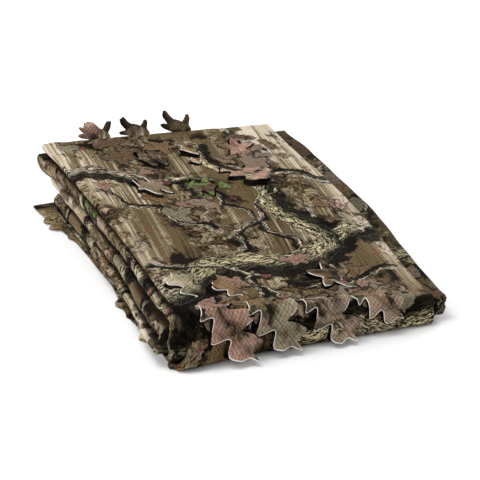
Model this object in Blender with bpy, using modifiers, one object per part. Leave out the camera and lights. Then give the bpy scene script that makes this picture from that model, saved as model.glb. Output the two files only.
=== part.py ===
"""A camouflage blind cloth, folded into a flat pack: one die-cut sheet.

The cloth is folded back and forth across its width, ply over ply, and the bundle is then folded
once in half round its front. Leaf-shaped tongues are cut in the sheet and stay hinged to it.
X is to the right, Y to the back and Z up, in metres.

The cloth is first laid out flat, as (across, along): across runs through the plies of the
section, from the free end under the top ply to the inmost end; along runs from the upper back
edge, round the front, to the lower back edge. Its place along is also given as a station: 0 to 1
on the upper half, 1 to 2 round the front and 2 to 3 on the lower half.
"""

import math

import bpy
import numpy as np
from mathutils import Vector
from mathutils.geometry import delaunay_2d_cdt

NODE = "camo_cloth"
CLOTH_COLOUR = (0.17, 0.13, 0.08, 1.0)
CLOTH_ROUGHNESS = 0.85

# Driving sizes. The cloth is 1.42 m by 3.66 m, and the pack a quarter of one by a sixteenth of
# the other.
SHEET = 0.0010
WIDTH = 0.227
DEPTH = 0.356
HALF_WIDTH = WIDTH / 2
HALF_DEPTH = DEPTH / 2

# Height of the pack's top at its corners, and the soft swell along its right half. The height
# stays the same in front of LEVEL_FRONT.
BACK_LEFT = 0.0615
BACK_RIGHT = 0.0475
FRONT_LEFT = 0.0480
FRONT_RIGHT = 0.0245
RIGHT_SWELL = 0.0030
LEVEL_FRONT = -0.150
RISE_EASE = 0.06

# The front: how far it leans out at its foot, and more so at its left corner, how round its plies
# turn there, and how much closer they lie there than in the halves.
FOOT_REACH = 0.0125
LEAN = math.radians(13.0)
CORNER_REACH = 0.0210
CORNER_LEAN = math.radians(21.7)
CORNER_WIDTH = 0.060
OUTER_ROUNDNESS = 0.18
INNER_ROUNDNESS = 0.49
FRONT_PACKING_LEFT = 0.62
FRONT_PACKING_RIGHT = 1.0
FRONT_PLY_GAP = 0.0008

# Each ply's level, as a share of the pack's height, above the half fold (up) and below it (low):
# along the left edge at the back and at the front, and along the right edge. In the middle of the
# pack the plies are evenly spaced by rank.
PLY_COLUMNS = ("back_up", "back_low", "front_up", "front_low", "right_up", "right_low", "rank")
PLIES = {
    "return": (0.955, 0.045, 0.955, 0.045, 0.915, 0.085, 0.5),
    "top": (1.000, 0.000, 1.000, 0.000, 1.000, 0.000, 0.0),
    "second": (0.930, 0.050, 0.930, 0.050, 0.835, 0.165, 1.0),
    "third": (0.885, 0.100, 0.885, 0.095, 0.755, 0.245, 2.0),
    "fourth": (0.720, 0.150, 0.680, 0.140, 0.685, 0.315, 3.0),
    "fifth": (0.675, 0.200, 0.635, 0.185, 0.615, 0.385, 4.0),
    "inmost": (0.500, 0.450, 0.370, 0.325, 0.545, 0.455, 5.0),
}
INMOST_RANK = 5.0

# How far the plies and their folds reach to each side, at stations along the cloth.
STATIONS = (0.0, 0.12, 0.5, 1.0, 1.5, 2.0, 2.3, 2.5, 2.7, 3.0)
REACHES = {
    "return_end": (0.099, 0.101, 0.105, 0.099, 0.099, 0.098, 0.097, 0.096, 0.095, 0.094),
    "top_right": (0.1135, 0.1145, 0.1190, 0.1140, 0.113, 0.112, 0.111, 0.110, 0.109, 0.108),
    "top_left": (-0.1135, -0.111, -0.109, -0.113, -0.110, -0.121, -0.124, -0.122, -0.114, -0.128),
    "right_roll": (0.130, 0.134, 0.1365, 0.1285, 0.126, 0.124, 0.122, 0.120, 0.118, 0.116),
    "left_roll": (-0.122, -0.114, -0.1125, -0.1160, -0.118, -0.119, -0.118, -0.116, -0.113, -0.112),
    "right_fold": (0.117, 0.120, 0.1220, 0.1230, 0.122, 0.120, 0.118, 0.116, 0.114, 0.112),
    "left_nose": (-0.114, -0.114, -0.1165, -0.1225, -0.125, -0.1255, -0.121, -0.118, -0.115, -0.113),
    "inmost_end": (0.098, 0.099, 0.100, 0.102, 0.102, 0.102, 0.101, 0.100, 0.098, 0.096),
}

# The section, from its free end to its inmost end: each ply, where it starts and ends, how many
# strips it has, and how many the fold after it has.
SECTION = (
    ("return", "return_end", "top_right", 1, 3),
    ("top", "top_right", "top_left", 10, 3),
    ("second", "top_left", "right_roll", 3, 3),
    ("third", "right_roll", "left_roll", 3, 5),
    ("fourth", "left_roll", "right_fold", 3, 3),
    ("fifth", "right_fold", "left_nose", 3, 5),
    ("inmost", "left_nose", "inmost_end", 3, 0),
)
FOLD_FLAT_LENGTH = 0.010
PLUMPNESS = 0.9

# How far in front of the top ply's back edge each ply ends, in the upper and the lower half.
RECESS_UP = {"second": 0.003, "third": 0.005, "fourth": 0.026, "fifth": 0.022, "inmost": 0.034}
RECESS_LOW = {"second": 0.006, "third": 0.020, "fourth": 0.030, "fifth": 0.026, "inmost": 0.038}

# Rows of the flat sheet: on the upper half, round the front and on the lower half.
UPPER_ROWS = 14
FRONT_ROWS = 9
LOWER_ROWS = 10
FRONT_FLAT_LENGTH = 0.052

# Leaf tongues of the top ply. Each is hinged at (x, run), where run is the distance from the back
# edge along the cloth. It points along its heading, 0 to the right and 90 to the front, in
# degrees, and its tip lifts off the cloth.
TONGUE_COLUMNS = ("x", "run", "heading", "length", "width", "lobes", "lift", "hinge")
TONGUES = {
    "front_a": (-0.090, 0.342, 65.0, 0.068, 0.052, 2, 0.009, 0.022),
    "front_a_top": (-0.083, 0.326, 243.0, 0.027, 0.026, 1, 0.006, 0.015),
    "front_b": (-0.045, 0.342, 60.0, 0.062, 0.050, 2, 0.008, 0.022),
    "front_b_top": (-0.046, 0.330, 228.0, 0.026, 0.026, 1, 0.006, 0.015),
    "front_c": (0.003, 0.342, 54.0, 0.058, 0.044, 2, 0.007, 0.022),
    "front_d": (0.044, 0.349, 34.0, 0.056, 0.038, 2, 0.006, 0.018),
    "front_d_top": (0.062, 0.319, 195.0, 0.034, 0.034, 2, 0.006, 0.018),
    "top_a": (0.024, 0.086, 66.0, 0.056, 0.036, 2, 0.006, 0.014),
    "top_b": (0.024, 0.046, 168.0, 0.022, 0.024, 1, 0.006, 0.015),
}
KERF = 0.0009
TONGUE_CLEARANCE = 0.0035

# A leaf's shape: the envelope of its half width, as a part of a sine arch, how narrow its sinuses
# are, where its first pair of lobes is, how pointed they are and how far they slant forward.
ARCH_START = 0.12
ARCH_SPAN = 0.80
SINUS = 0.38
LOBE_START = 0.42
LOBE_POINT = 1.4
LOBE_SLANT = 0.060
POINTS_A_LOBE = 5

# How a tongue lifts: the power of its rise, how far its edges curl up beyond its middle, and
# where on the front face and how steeply a long one splays out to the ground. Three ribs of
# points let it bend.
LIFT_CURVE = 1.15
EDGE_CURL = 0.4
SPLAY_START = 0.76
SPLAY_FALL = 0.5
RIB_PLACES = (-0.22, 0.0, 0.22)
RIB_SPACING = 0.0075
RIB_CLEARANCE = 0.0020
NORMAL_STEP = 0.0002

# Leaf ends that stand up from the top ply's back edge, laid out as the tongues are.
STUB_COLUMNS = ("x", "heading", "length", "width", "lobes", "hinge")
STUBS = {
    "stub_left": (-0.053, 222.0, 0.024, 0.024, 2, 0.015),
    "stub_middle": (-0.013, 230.0, 0.023, 0.023, 2, 0.015),
    "stub_right": (0.029, 238.0, 0.025, 0.023, 2, 0.015),
}
STUB_RISE = math.radians(46.0)
STUB_CURL = 18.0

# Middle of the pack's footprint in the places above, where the origin is put.
FOOTPRINT_MIDDLE = (0.0041, -0.0100)


def mix(first, second, share):
    """Blend from first to second."""
    return first + (second - first) * share


def smooth_step(value):
    """Rise smoothly from 0 to 1 as value goes from 0 to 1."""
    value = np.clip(value, 0.0, 1.0)
    return value * value * (3.0 - 2.0 * value)


def reach_at(name, station):
    """Read a row of REACHES at any station, eased between its columns."""
    knots = np.asarray(STATIONS)
    values = np.asarray(REACHES[name])
    cell = np.clip(np.searchsorted(knots, station, side="right") - 1, 0, len(knots) - 2)
    share = smooth_step((station - knots[cell]) / (knots[cell + 1] - knots[cell]))
    return mix(values[cell], values[cell + 1], share)


def back_share(y):
    """Share of the way from LEVEL_FRONT to the back edge, eased where it starts to rise."""
    share = (y - LEVEL_FRONT) / (HALF_DEPTH - LEVEL_FRONT)
    eased = np.clip(share + RISE_EASE, 0.0, 2.0 * RISE_EASE) ** 2 / (4.0 * RISE_EASE)
    return np.minimum(np.maximum(share, eased), 1.0)


def pack_height(x, y):
    """Height of the pack's top, bilinear between its corners with a swell on the right."""
    right = np.clip(x / WIDTH + 0.5, 0.0, 1.0)
    back = back_share(y)
    flat_top = mix(mix(FRONT_LEFT, FRONT_RIGHT, right), mix(BACK_LEFT, BACK_RIGHT, right), back)
    return flat_top + RIGHT_SWELL * right * np.sin(np.pi * back) ** 2


def ply_level(ply, x, y, side):
    """Level of a ply at places (x, y), as a share of the pack's height."""
    row = dict(zip(PLY_COLUMNS, PLIES[ply]))
    left = mix(row["front_" + side], row["back_" + side], back_share(y))
    even = row["rank"] / (2.0 * INMOST_RANK + 1.0)
    middle = 1.0 - even if side == "up" else even
    left_pull = (left - middle) * smooth_step(-x / HALF_WIDTH)
    right_pull = (row["right_" + side] - middle) * smooth_step(x / HALF_WIDTH)
    return middle + left_pull + right_pull


def fold_radius(before, after, edge, station):
    """Half the distance between two plies at the edge where they fold into each other."""
    front = np.full_like(edge, LEVEL_FRONT)
    half_gap = {}
    for side in ("up", "low"):
        gap = ply_level(before, edge, front, side) - ply_level(after, edge, front, side)
        half_gap[side] = np.abs(gap) * pack_height(edge, front) / 2
    return PLUMPNESS * mix(half_gap["up"], half_gap["low"], np.clip(station - 1.0, 0.0, 1.0))


def front_turn(x, share, upper, lower, inset, roundness):
    """Run down the front of a ply at x: a round shoulder, a leaning face and a round foot.

    The run is given as a share of the whole turn. It returns Y and Z, the Y where the shoulder
    starts, the Y where the foot ends, and the turn's length.
    """
    corner = 1.0 - smooth_step((x + HALF_WIDTH) / CORNER_WIDTH)
    lean = mix(LEAN, CORNER_LEAN, corner)
    shoulder_angle = math.pi / 2 - lean
    foot_angle = math.pi / 2 + lean
    rise = upper - lower
    radius = roundness * rise
    shoulder_tangent = radius * np.tan(shoulder_angle / 2)
    foot_tangent = radius * np.tan(foot_angle / 2)
    face = np.maximum(rise / np.cos(lean) - shoulder_tangent - foot_tangent, 0.0)
    length = radius * (shoulder_angle + foot_angle) + face
    done = share * length
    shoulder = np.clip(done / radius, 0.0, shoulder_angle)
    straight = np.clip(done - radius * shoulder_angle, 0.0, face)
    foot = np.clip((done - radius * shoulder_angle - face) / radius, 0.0, foot_angle)
    face_line = inset - HALF_DEPTH - mix(FOOT_REACH, CORNER_REACH, corner)
    start = face_line + upper * np.tan(lean) + shoulder_tangent
    end = face_line + lower * np.tan(lean) + foot_tangent
    foot_drop = np.cos(shoulder_angle + foot) - np.cos(shoulder_angle)
    foot_run = np.sin(shoulder_angle + foot) - np.sin(shoulder_angle)
    y = start - radius * np.sin(shoulder) - straight * np.sin(lean) - radius * foot_run
    z = upper - radius * (1.0 - np.cos(shoulder)) - straight * np.cos(lean) + radius * foot_drop
    return y, z, start, end, length


def sweep_section(x, levels, rank, recesses, station):
    """Carry points of the section along the cloth: forward, round the front and back beneath.

    levels gives the level, up or low, at any y, and recesses the two back ends. It returns Y, Z.
    """
    front = np.full_like(x, LEVEL_FRONT)
    rise = pack_height(x, front) - SHEET
    up_front = levels("up", front)
    low_front = levels("low", front)
    packing = mix(FRONT_PACKING_LEFT, FRONT_PACKING_RIGHT, smooth_step(x / WIDTH + 0.5))
    inset = packing * (1.0 - up_front) * rise + FRONT_PLY_GAP * rank
    roundness = mix(OUTER_ROUNDNESS, INNER_ROUNDNESS, rank / INMOST_RANK)
    upper = SHEET / 2 + up_front * rise
    lower = SHEET / 2 + low_front * rise
    turn_share = np.clip(station - 1.0, 0.0, 1.0)
    turn_y, turn_z, start, end, _ = front_turn(x, turn_share, upper, lower, inset, roundness)
    upper_y = mix(HALF_DEPTH - recesses[0], start, np.clip(station, 0.0, 1.0))
    lower_y = mix(end, HALF_DEPTH - recesses[1], np.clip(station - 2.0, 0.0, 1.0))
    upper_z = SHEET / 2 + levels("up", upper_y) * (pack_height(x, upper_y) - SHEET)
    lower_z = SHEET / 2 + levels("low", lower_y) * (pack_height(x, lower_y) - SHEET)
    y = np.where(station < 1.0, upper_y, np.where(station <= 2.0, turn_y, lower_y))
    z = np.where(station < 1.0, upper_z, np.where(station <= 2.0, turn_z, lower_z))
    return y, z


def ply_spans():
    """Give each ply's flat start and flat length across the cloth."""
    spans = []
    start_flat = 0.0
    for _, start, end, _, fold_strips in SECTION:
        length = abs(REACHES[end][0] - REACHES[start][0])
        spans.append((start_flat, length))
        start_flat += length + (FOLD_FLAT_LENGTH if fold_strips else 0.0)
    return spans


SPANS = ply_spans()


def ply_roots(index, station):
    """X where a ply starts and ends, clear of the folds before and after it."""
    ply, start, end, _, fold_strips = SECTION[index]
    near = reach_at(start, station)
    far = reach_at(end, station)
    outward = np.sign(far - near)
    near_root = near
    far_root = far
    if index > 0:
        near_root = near + outward * fold_radius(SECTION[index - 1][0], ply, near, station)
    if fold_strips:
        far_root = far - outward * fold_radius(ply, SECTION[index + 1][0], far, station)
    return near_root, far_root, outward * np.abs(far - far_root)


def station_of(along):
    """Station of a flat place along the cloth."""
    upper = np.clip(along / DEPTH, 0.0, 1.0)
    front = np.clip((along - DEPTH) / FRONT_FLAT_LENGTH, 0.0, 1.0)
    lower = np.clip((along - DEPTH - FRONT_FLAT_LENGTH) / DEPTH, 0.0, 1.0)
    return upper + front + lower


def fold_cloth(flat):
    """Fold the flat cloth: map rows of (across, along) to rows of (X, Y, Z)."""
    across = flat[:, 0]
    station = station_of(flat[:, 1])
    places = np.zeros((len(flat), 3))
    for index, (ply, _, _, _, fold_strips) in enumerate(SECTION):
        start_flat, length = SPANS[index]
        end_flat = start_flat + length + (FOLD_FLAT_LENGTH if fold_strips else 0.0)
        chosen = (across >= start_flat) & (across <= end_flat + 1e-9)
        share = np.clip((across[chosen] - start_flat) / length, 0.0, 1.0)
        turn = np.clip((across[chosen] - start_flat - length) / FOLD_FLAT_LENGTH, 0.0, 1.0)
        after = SECTION[index + 1][0] if fold_strips else ply
        blend = (1.0 - np.cos(np.pi * turn)) / 2
        near_root, far_root, reach = ply_roots(index, station[chosen])
        x = mix(near_root, far_root, share) + reach * np.sin(np.pi * turn)
        rank = mix(PLIES[ply][-1], PLIES[after][-1], blend)
        recesses = [
            mix(table.get(ply, 0.0), table.get(after, 0.0), blend)
            for table in (RECESS_UP, RECESS_LOW)
        ]

        def levels(side, y, x=x, ply=ply, after=after, blend=blend):
            return mix(ply_level(ply, x, y, side), ply_level(after, x, y, side), blend)

        y, z = sweep_section(x, levels, rank, recesses, station[chosen])
        places[chosen] = np.stack([x, y, z], axis=1)
    return places


def top_runs(x):
    """Length of the top ply from its back edge to its shoulder, and round the front, at x."""
    rise = pack_height(x, np.full_like(x, LEVEL_FRONT)) - SHEET
    lower = np.full_like(x, SHEET / 2)
    still = np.zeros_like(x)
    _, _, start, _, length = front_turn(x, still, lower + rise, lower, still, OUTER_ROUNDNESS)
    return HALF_DEPTH - start, length


def flat_on_top(places):
    """Turn places on the top ply, as rows of (x, run), into flat places."""
    x, run = places[:, 0], places[:, 1]
    upper_run, front_run = top_runs(x)
    on_front = np.maximum(run - upper_run, 0.0) / front_run
    along = np.minimum(run, upper_run) / upper_run * DEPTH + on_front * FRONT_FLAT_LENGTH
    near_root, far_root, _ = ply_roots(1, station_of(along))
    start_flat, length = SPANS[1]
    return np.stack([start_flat + length * (x - near_root) / (far_root - near_root), along], axis=1)


def top_of_flat(flat):
    """Turn flat places on the top ply back into rows of (x, run)."""
    near_root, far_root, _ = ply_roots(1, station_of(flat[:, 1]))
    start_flat, length = SPANS[1]
    x = mix(near_root, far_root, (flat[:, 0] - start_flat) / length)
    upper_run, front_run = top_runs(x)
    on_front = np.clip((flat[:, 1] - DEPTH) / FRONT_FLAT_LENGTH, 0.0, 1.0)
    return np.stack([x, np.minimum(flat[:, 1] / DEPTH, 1.0) * upper_run + on_front * front_run], axis=1)


def leaf_outline(length, width, lobes, hinge):
    """Outline of a lobed leaf from one end of its hinge, round its tip, to the other end.

    It lies along +p with its hinge on p = 0. Its half width rises to a pointed lobe and falls to
    a sinus once for each pair of lobes, and the lobes slant towards the tip.
    """
    count = lobes * POINTS_A_LOBE
    share = (np.arange(count) + 0.5) / (count + 0.5)
    envelope = np.sqrt(np.sin(np.pi * (ARCH_START + ARCH_SPAN * share)))
    wave = (0.5 + 0.5 * np.cos(2.0 * np.pi * (lobes * share - LOBE_START))) ** LOBE_POINT
    half = width / 2 * envelope * (SINUS + (1.0 - SINUS) * wave)
    p = length * ((1.0 - LOBE_SLANT) * share + LOBE_SLANT * wave)
    side = np.stack([p, half], axis=1)
    other = side[::-1] * (1.0, -1.0)
    return np.vstack([(0.0, hinge / 2), side, (length, 0.0), other, (0.0, -hinge / 2)])


def grow_outline(outline, distance):
    """Move an open outline outwards by a distance, its ends along the hinge."""
    closed = np.vstack([outline[-1:], outline, outline[:1]])
    edges = np.diff(closed, axis=0)
    normals = np.stack([-edges[:, 1], edges[:, 0]], axis=1)
    normals /= np.linalg.norm(normals, axis=1)[:, None]
    joint = normals[:-1] + normals[1:]
    joint /= np.linalg.norm(joint, axis=1)[:, None]
    grown = outline + joint * distance
    grown[0] = outline[0] + (0.0, distance)
    grown[-1] = outline[-1] - (0.0, distance)
    return grown


def to_top_ply(local, x, run, heading):
    """Place a leaf's own points (p, q) on the top ply, as (x, run)."""
    angle = math.radians(heading)
    forward = np.array([math.cos(angle), math.sin(angle)])
    sideways = np.array([-math.sin(angle), math.cos(angle)])
    return np.array([x, run]) + local[:, :1] * forward + local[:, 1:] * sideways


def to_leaf(places, x, run, heading):
    """Turn places (x, run) on the top ply into a leaf's own (p, q)."""
    angle = math.radians(heading)
    offset = places - np.array([x, run])
    p = offset @ np.array([math.cos(angle), math.sin(angle)])
    q = offset @ np.array([-math.sin(angle), math.cos(angle)])
    return np.stack([p, q], axis=1)


def inside(points, polygon):
    """Tell which points lie in a closed polygon, by counting the edges that each one sees."""
    start = polygon
    end = np.roll(polygon, -1, axis=0)
    px, py = points[:, :1], points[:, 1:2]
    crosses = (start[:, 1] > py) != (end[:, 1] > py)
    rise = np.where(end[:, 1] == start[:, 1], 1.0, end[:, 1] - start[:, 1])
    at_x = start[:, 0] + (py - start[:, 1]) / rise * (end[:, 0] - start[:, 0])
    return (np.count_nonzero(crosses & (px < at_x), axis=1) % 2) == 1


def distance_to(points, outline):
    """Distance from each point to the nearest edge of an open outline."""
    start, end = outline[:-1], outline[1:]
    span = end - start
    offset = points[:, None, :] - start[None, :, :]
    share = np.clip((offset * span).sum(2) / (span * span).sum(1), 0.0, 1.0)
    return np.linalg.norm(offset - share[:, :, None] * span, axis=2).min(1)


def grid_places():
    """Places of the flat sheet's grid: rows along the cloth by columns across its plies."""
    columns = []
    for index, (_, _, _, strips, fold_strips) in enumerate(SECTION):
        start_flat, length = SPANS[index]
        columns.extend(start_flat + length * strip / strips for strip in range(strips))
        end_flat = start_flat + length
        columns.append(end_flat)
        columns.extend(end_flat + FOLD_FLAT_LENGTH * strip / fold_strips for strip in range(1, fold_strips))
    rows = [DEPTH * row / UPPER_ROWS for row in range(UPPER_ROWS)]
    rows += [DEPTH + FRONT_FLAT_LENGTH * row / FRONT_ROWS for row in range(FRONT_ROWS)]
    rows += [DEPTH + FRONT_FLAT_LENGTH + DEPTH * row / LOWER_ROWS for row in range(LOWER_ROWS + 1)]
    return np.array([(across, along) for along in rows for across in columns])


def tongue_rows():
    """Give every tongue's sizes by name."""
    return [dict(zip(TONGUE_COLUMNS, row)) for row in TONGUES.values()]


def stub_rows():
    """Give every stub's sizes by name, with its hinge on the back edge."""
    return [dict(zip(STUB_COLUMNS, row), run=0.0) for row in STUBS.values()]


def tongue_outlines(row):
    """Outlines of a tongue and of its opening, as places (x, run) on the top ply."""
    outline = leaf_outline(row["length"], row["width"], row["lobes"], row["hinge"])
    grown = grow_outline(outline, KERF)
    spot = (row["x"], row["run"], row["heading"])
    return to_top_ply(outline, *spot), to_top_ply(grown, *spot)


def tongue_ribs(row):
    """Places (x, run) in three lines along a tongue, with which it bends smoothly."""
    p = np.arange(RIB_SPACING, row["length"], RIB_SPACING)
    lines = [np.stack([p, np.full_like(p, q * row["width"])], axis=1) for q in RIB_PLACES]
    return to_top_ply(np.vstack(lines), row["x"], row["run"], row["heading"])


def stub_outline(row):
    """Outline of a stub beyond the back edge, its two ends on the edge."""
    outline = leaf_outline(row["length"], row["width"], row["lobes"], row["hinge"])
    placed = to_top_ply(outline, row["x"], 0.0, row["heading"])
    beyond = placed[placed[:, 1] < -KERF]
    ends_x = row["x"] + np.array([-0.5, 0.5]) * row["hinge"] / abs(math.sin(math.radians(row["heading"])))
    if beyond[0, 0] > beyond[-1, 0]:
        ends_x = ends_x[::-1]
    return np.vstack([(ends_x[0], 0.0), beyond, (ends_x[1], 0.0)])


def triangulate_flat():
    """Triangulate the flat cloth between its border and its cuts.

    It returns the flat places, the triangles, and for each triangle the number of the tongue
    that it is in, or -1.
    """
    grid = grid_places()
    limit = grid.max(axis=0)
    cuts = [[flat_on_top(outline) for outline in tongue_outlines(row)] for row in tongue_rows()]
    stubs = [flat_of_stub(stub_outline(row)) for row in stub_rows()]
    keep = np.ones(len(grid), bool)
    for tongue, opening in cuts:
        keep &= distance_to(grid, opening) > TONGUE_CLEARANCE
        keep &= distance_to(grid, tongue) > TONGUE_CLEARANCE
    for stub in stubs:
        keep &= distance_to(grid, stub[[0, -1]]) > TONGUE_CLEARANCE
    points = [Vector(place) for place in grid[keep]]
    for row, (tongue, _) in zip(tongue_rows(), cuts):
        ribs = flat_on_top(tongue_ribs(row))
        clear = inside(ribs, tongue) & (distance_to(ribs, tongue) > RIB_CLEARANCE)
        points.extend(Vector(place) for place in ribs[clear])
    lines = []
    borders = border_corners(limit, stubs)
    for outline, closed in [(borders, True)] + [(ring_of(cut), True) for cut in cuts]:
        first = len(points)
        points.extend(Vector(place) for place in outline)
        numbers = list(range(first, len(points)))
        lines.extend(zip(numbers, numbers[1:] + numbers[:1]))
    for hinged in [tongue for tongue, _ in cuts] + stubs:
        first = len(points)
        points.extend(Vector(place) for place in hinged[[0, -1]])
        lines.append((first, first + 1))
    result = delaunay_2d_cdt(points, lines, [], 0, 1e-7)
    places = np.array([tuple(place) for place in result[0]])
    triangles = np.array([face for face in result[2] if len(face) == 3])
    middle = places[triangles].mean(axis=1)
    keep = inside(middle, borders)
    owner = np.full(len(triangles), -1)
    for number, (tongue, opening) in enumerate(cuts):
        in_tongue = inside(middle, tongue)
        in_opening = inside(middle, opening)
        keep &= ~(in_opening & ~in_tongue)
        owner[in_tongue] = number
    return places, triangles[keep], owner[keep]


def ring_of(cut):
    """The closed outline of the kerf between a tongue and its opening."""
    tongue, opening = cut
    return np.vstack([tongue, opening[::-1]])


def flat_of_stub(outline):
    """Flat places of a stub's outline, which runs past the back edge."""
    on_edge = flat_on_top(np.stack([outline[:, 0], np.zeros(len(outline))], axis=1))
    return np.stack([on_edge[:, 0], outline[:, 1]], axis=1)


def border_corners(limit, stubs):
    """The flat cloth's border: a rectangle whose back edge carries the stubs."""
    back_edge = [(0.0, 0.0)]
    for stub in sorted(stubs, key=lambda outline: outline[:, 0].min()):
        run = stub if stub[0, 0] < stub[-1, 0] else stub[::-1]
        back_edge.extend(tuple(place) for place in run)
    back_edge.append((limit[0], 0.0))
    return np.array(back_edge + [(limit[0], limit[1]), (0.0, limit[1])])


def cloth_normals(flat):
    """Outward normals of the folded cloth from its slopes, kept from pointing down."""
    across = np.array([NORMAL_STEP, 0.0])
    along = np.array([0.0, NORMAL_STEP])
    across = fold_cloth(flat + across) - fold_cloth(np.maximum(flat - across, 0.0))
    along = fold_cloth(flat + along) - fold_cloth(np.maximum(flat - along, 0.0))
    normals = np.cross(across, along)
    normals[:, 2] = np.maximum(normals[:, 2], 0.0)
    return normals / np.maximum(np.linalg.norm(normals, axis=1), 1e-12)[:, None]


def lift_tongues(flat, places, triangles, owner):
    """Lift each tongue off the cloth, from nothing at its hinge to most at its tip.

    What is longer than the front face doesn't turn under: it slopes forward to the ground.
    """
    foot_along = DEPTH + SPLAY_START * FRONT_FLAT_LENGTH
    for number, row in enumerate(tongue_rows()):
        members = np.unique(triangles[owner == number])
        held = flat[members].copy()
        held[:, 1] = np.minimum(held[:, 1], foot_along)
        splay = flat[members, 1] - held[:, 1]
        local = to_leaf(top_of_flat(flat[members]), row["x"], row["run"], row["heading"])
        share = np.clip(local[:, 0] / row["length"], 0.0, 1.0)
        lift = row["lift"] * share ** LIFT_CURVE
        lift *= 1.0 + EDGE_CURL * (2.0 * local[:, 1] / row["width"]) ** 2
        places[members] = fold_cloth(held) + cloth_normals(held) * lift[:, None]
        places[members, 1] -= splay
        places[members, 2] -= SPLAY_FALL * splay
    places[:, 2] = np.maximum(places[:, 2], SHEET / 2)
    return places


def raise_stubs(flat, places):
    """Curl what runs past the back edge upwards, steeper with its distance from the edge."""
    beyond = np.maximum(-flat[:, 1], 0.0)
    angle = STUB_RISE + STUB_CURL * beyond / 2
    places[:, 1] += beyond * np.cos(angle)
    places[:, 2] += beyond * np.sin(angle)
    return places


def cloth_material():
    """The cloth's printed, dull finish."""
    material = bpy.data.materials.new("printed_cloth")
    material.use_nodes = True
    shader = material.node_tree.nodes["Principled BSDF"]
    shader.inputs["Base Color"].default_value = CLOTH_COLOUR
    shader.inputs["Roughness"].default_value = CLOTH_ROUGHNESS
    shader.inputs["Metallic"].default_value = 0.0
    return material


def build_cloth():
    """Build the folded cloth as one closed solid, with the origin under its middle."""
    flat, triangles, owner = triangulate_flat()
    places = fold_cloth(np.maximum(flat, 0.0))
    places = raise_stubs(flat, places)
    places = lift_tongues(flat, places, triangles, owner)
    places[:, :2] -= FOOTPRINT_MIDDLE
    mesh = bpy.data.meshes.new(NODE)
    mesh.from_pydata(places.tolist(), [], triangles.tolist())
    mesh.materials.append(cloth_material())
    cloth = bpy.data.objects.new(NODE, mesh)
    thickness = cloth.modifiers.new("thickness", "SOLIDIFY")
    thickness.thickness = SHEET
    thickness.offset = 0.0
    thickness.use_even_offset = True
    return cloth


def main():
    """Clear the scene and build the folded cloth."""
    for thing in list(bpy.data.objects):
        bpy.data.objects.remove(thing, do_unlink=True)
    parts = bpy.data.collections.new("camouflage_cloth")
    bpy.context.scene.collection.children.link(parts)
    parts.objects.link(build_cloth())


main()
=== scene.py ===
"""Looks of a camouflage blind cloth folded into a flat pack: one die-cut, printed sheet.

The sheet is laid out flat as (across, along) in metres, cut with its leaf tongues, folded back
and forth across its width and then once in half round its front. Its print reads the same flat
coordinates, so it follows the folds. X is to the right, Y to the back and Z up, in metres.
"""

import logging
import math
from collections.abc import Callable
from dataclasses import dataclass, field
from enum import Enum, IntEnum
from functools import reduce

import bpy
import numpy as np
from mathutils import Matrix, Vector
from mathutils.geometry import delaunay_2d_cdt


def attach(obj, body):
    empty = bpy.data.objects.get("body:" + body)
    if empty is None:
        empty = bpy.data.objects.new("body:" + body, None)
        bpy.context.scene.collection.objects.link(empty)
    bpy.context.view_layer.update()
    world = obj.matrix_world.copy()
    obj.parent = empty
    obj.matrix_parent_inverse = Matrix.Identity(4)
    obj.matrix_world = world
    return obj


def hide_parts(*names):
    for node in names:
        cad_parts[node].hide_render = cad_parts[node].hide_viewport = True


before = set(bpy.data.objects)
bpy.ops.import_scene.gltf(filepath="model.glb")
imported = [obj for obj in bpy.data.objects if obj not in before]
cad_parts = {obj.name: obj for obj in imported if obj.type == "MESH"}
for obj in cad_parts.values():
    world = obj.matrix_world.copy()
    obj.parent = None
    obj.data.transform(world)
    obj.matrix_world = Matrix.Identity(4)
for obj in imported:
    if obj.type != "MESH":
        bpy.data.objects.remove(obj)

LOG = logging.getLogger("camo_cloth")
Array = np.ndarray
Pair = tuple[float, float]
TINY = 1e-12
FULL_TURN = 2.0 * math.pi
UV_MAP = "flat_cloth"


class Mark(Enum):
    """Values that the cloth's mesh carries for its print, painted shade and highlights, beside its UV
    map.
    """

    CUT_EDGE = "cut_edge"
    LEAF_TONE = "leaf_tone"
    LEAF_PLACE = "leaf_place"
    CREST = "crest"
    SHADE = "shade"


def mix(first: Array, second: Array, share: Array) -> Array:
    """Blend from first to second."""
    return first + (second - first) * share


def smooth_step(value: Array) -> Array:
    """Rise smoothly from 0 to 1 as value goes from 0 to 1: 3t^2 - 2t^3."""
    value = np.clip(value, 0.0, 1.0)
    return value * value * (3.0 - 2.0 * value)


def unit(vectors: Array) -> Array:
    """Bring rows of vectors to length 1."""
    return vectors / np.maximum(np.linalg.norm(vectors, axis=1), TINY)[:, None]


def add_object(name: str, data: bpy.types.ID) -> bpy.types.Object:
    """Make an object and put it in the scene.

    Args:
        name: what it is called.
        data: its mesh, camera or light.

    Returns:
        The object.
    """
    made = bpy.data.objects.new(name, data)
    bpy.context.scene.collection.objects.link(made)
    return made


def aim_at(made: bpy.types.Object, place: Vector, target: Vector) -> None:
    """Stand a camera or light at a place so that it faces a target.

    Args:
        made: the camera or light.
        place: where it stands.
        target: what it faces.
    """
    made.location = place
    made.rotation_mode = "QUATERNION"
    made.rotation_quaternion = (target - place).to_track_quat("-Z", "Y")


def lattice(across: Array, along: Array) -> Array:
    """Pair every place across with every place along, as rows."""
    return np.stack(np.meshgrid(across, along), axis=-1).reshape(-1, 2)


class Half(IntEnum):
    """The two halves of the pack, above and below the half fold, as places in a pair."""

    UPPER = 0
    LOWER = 1


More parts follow.
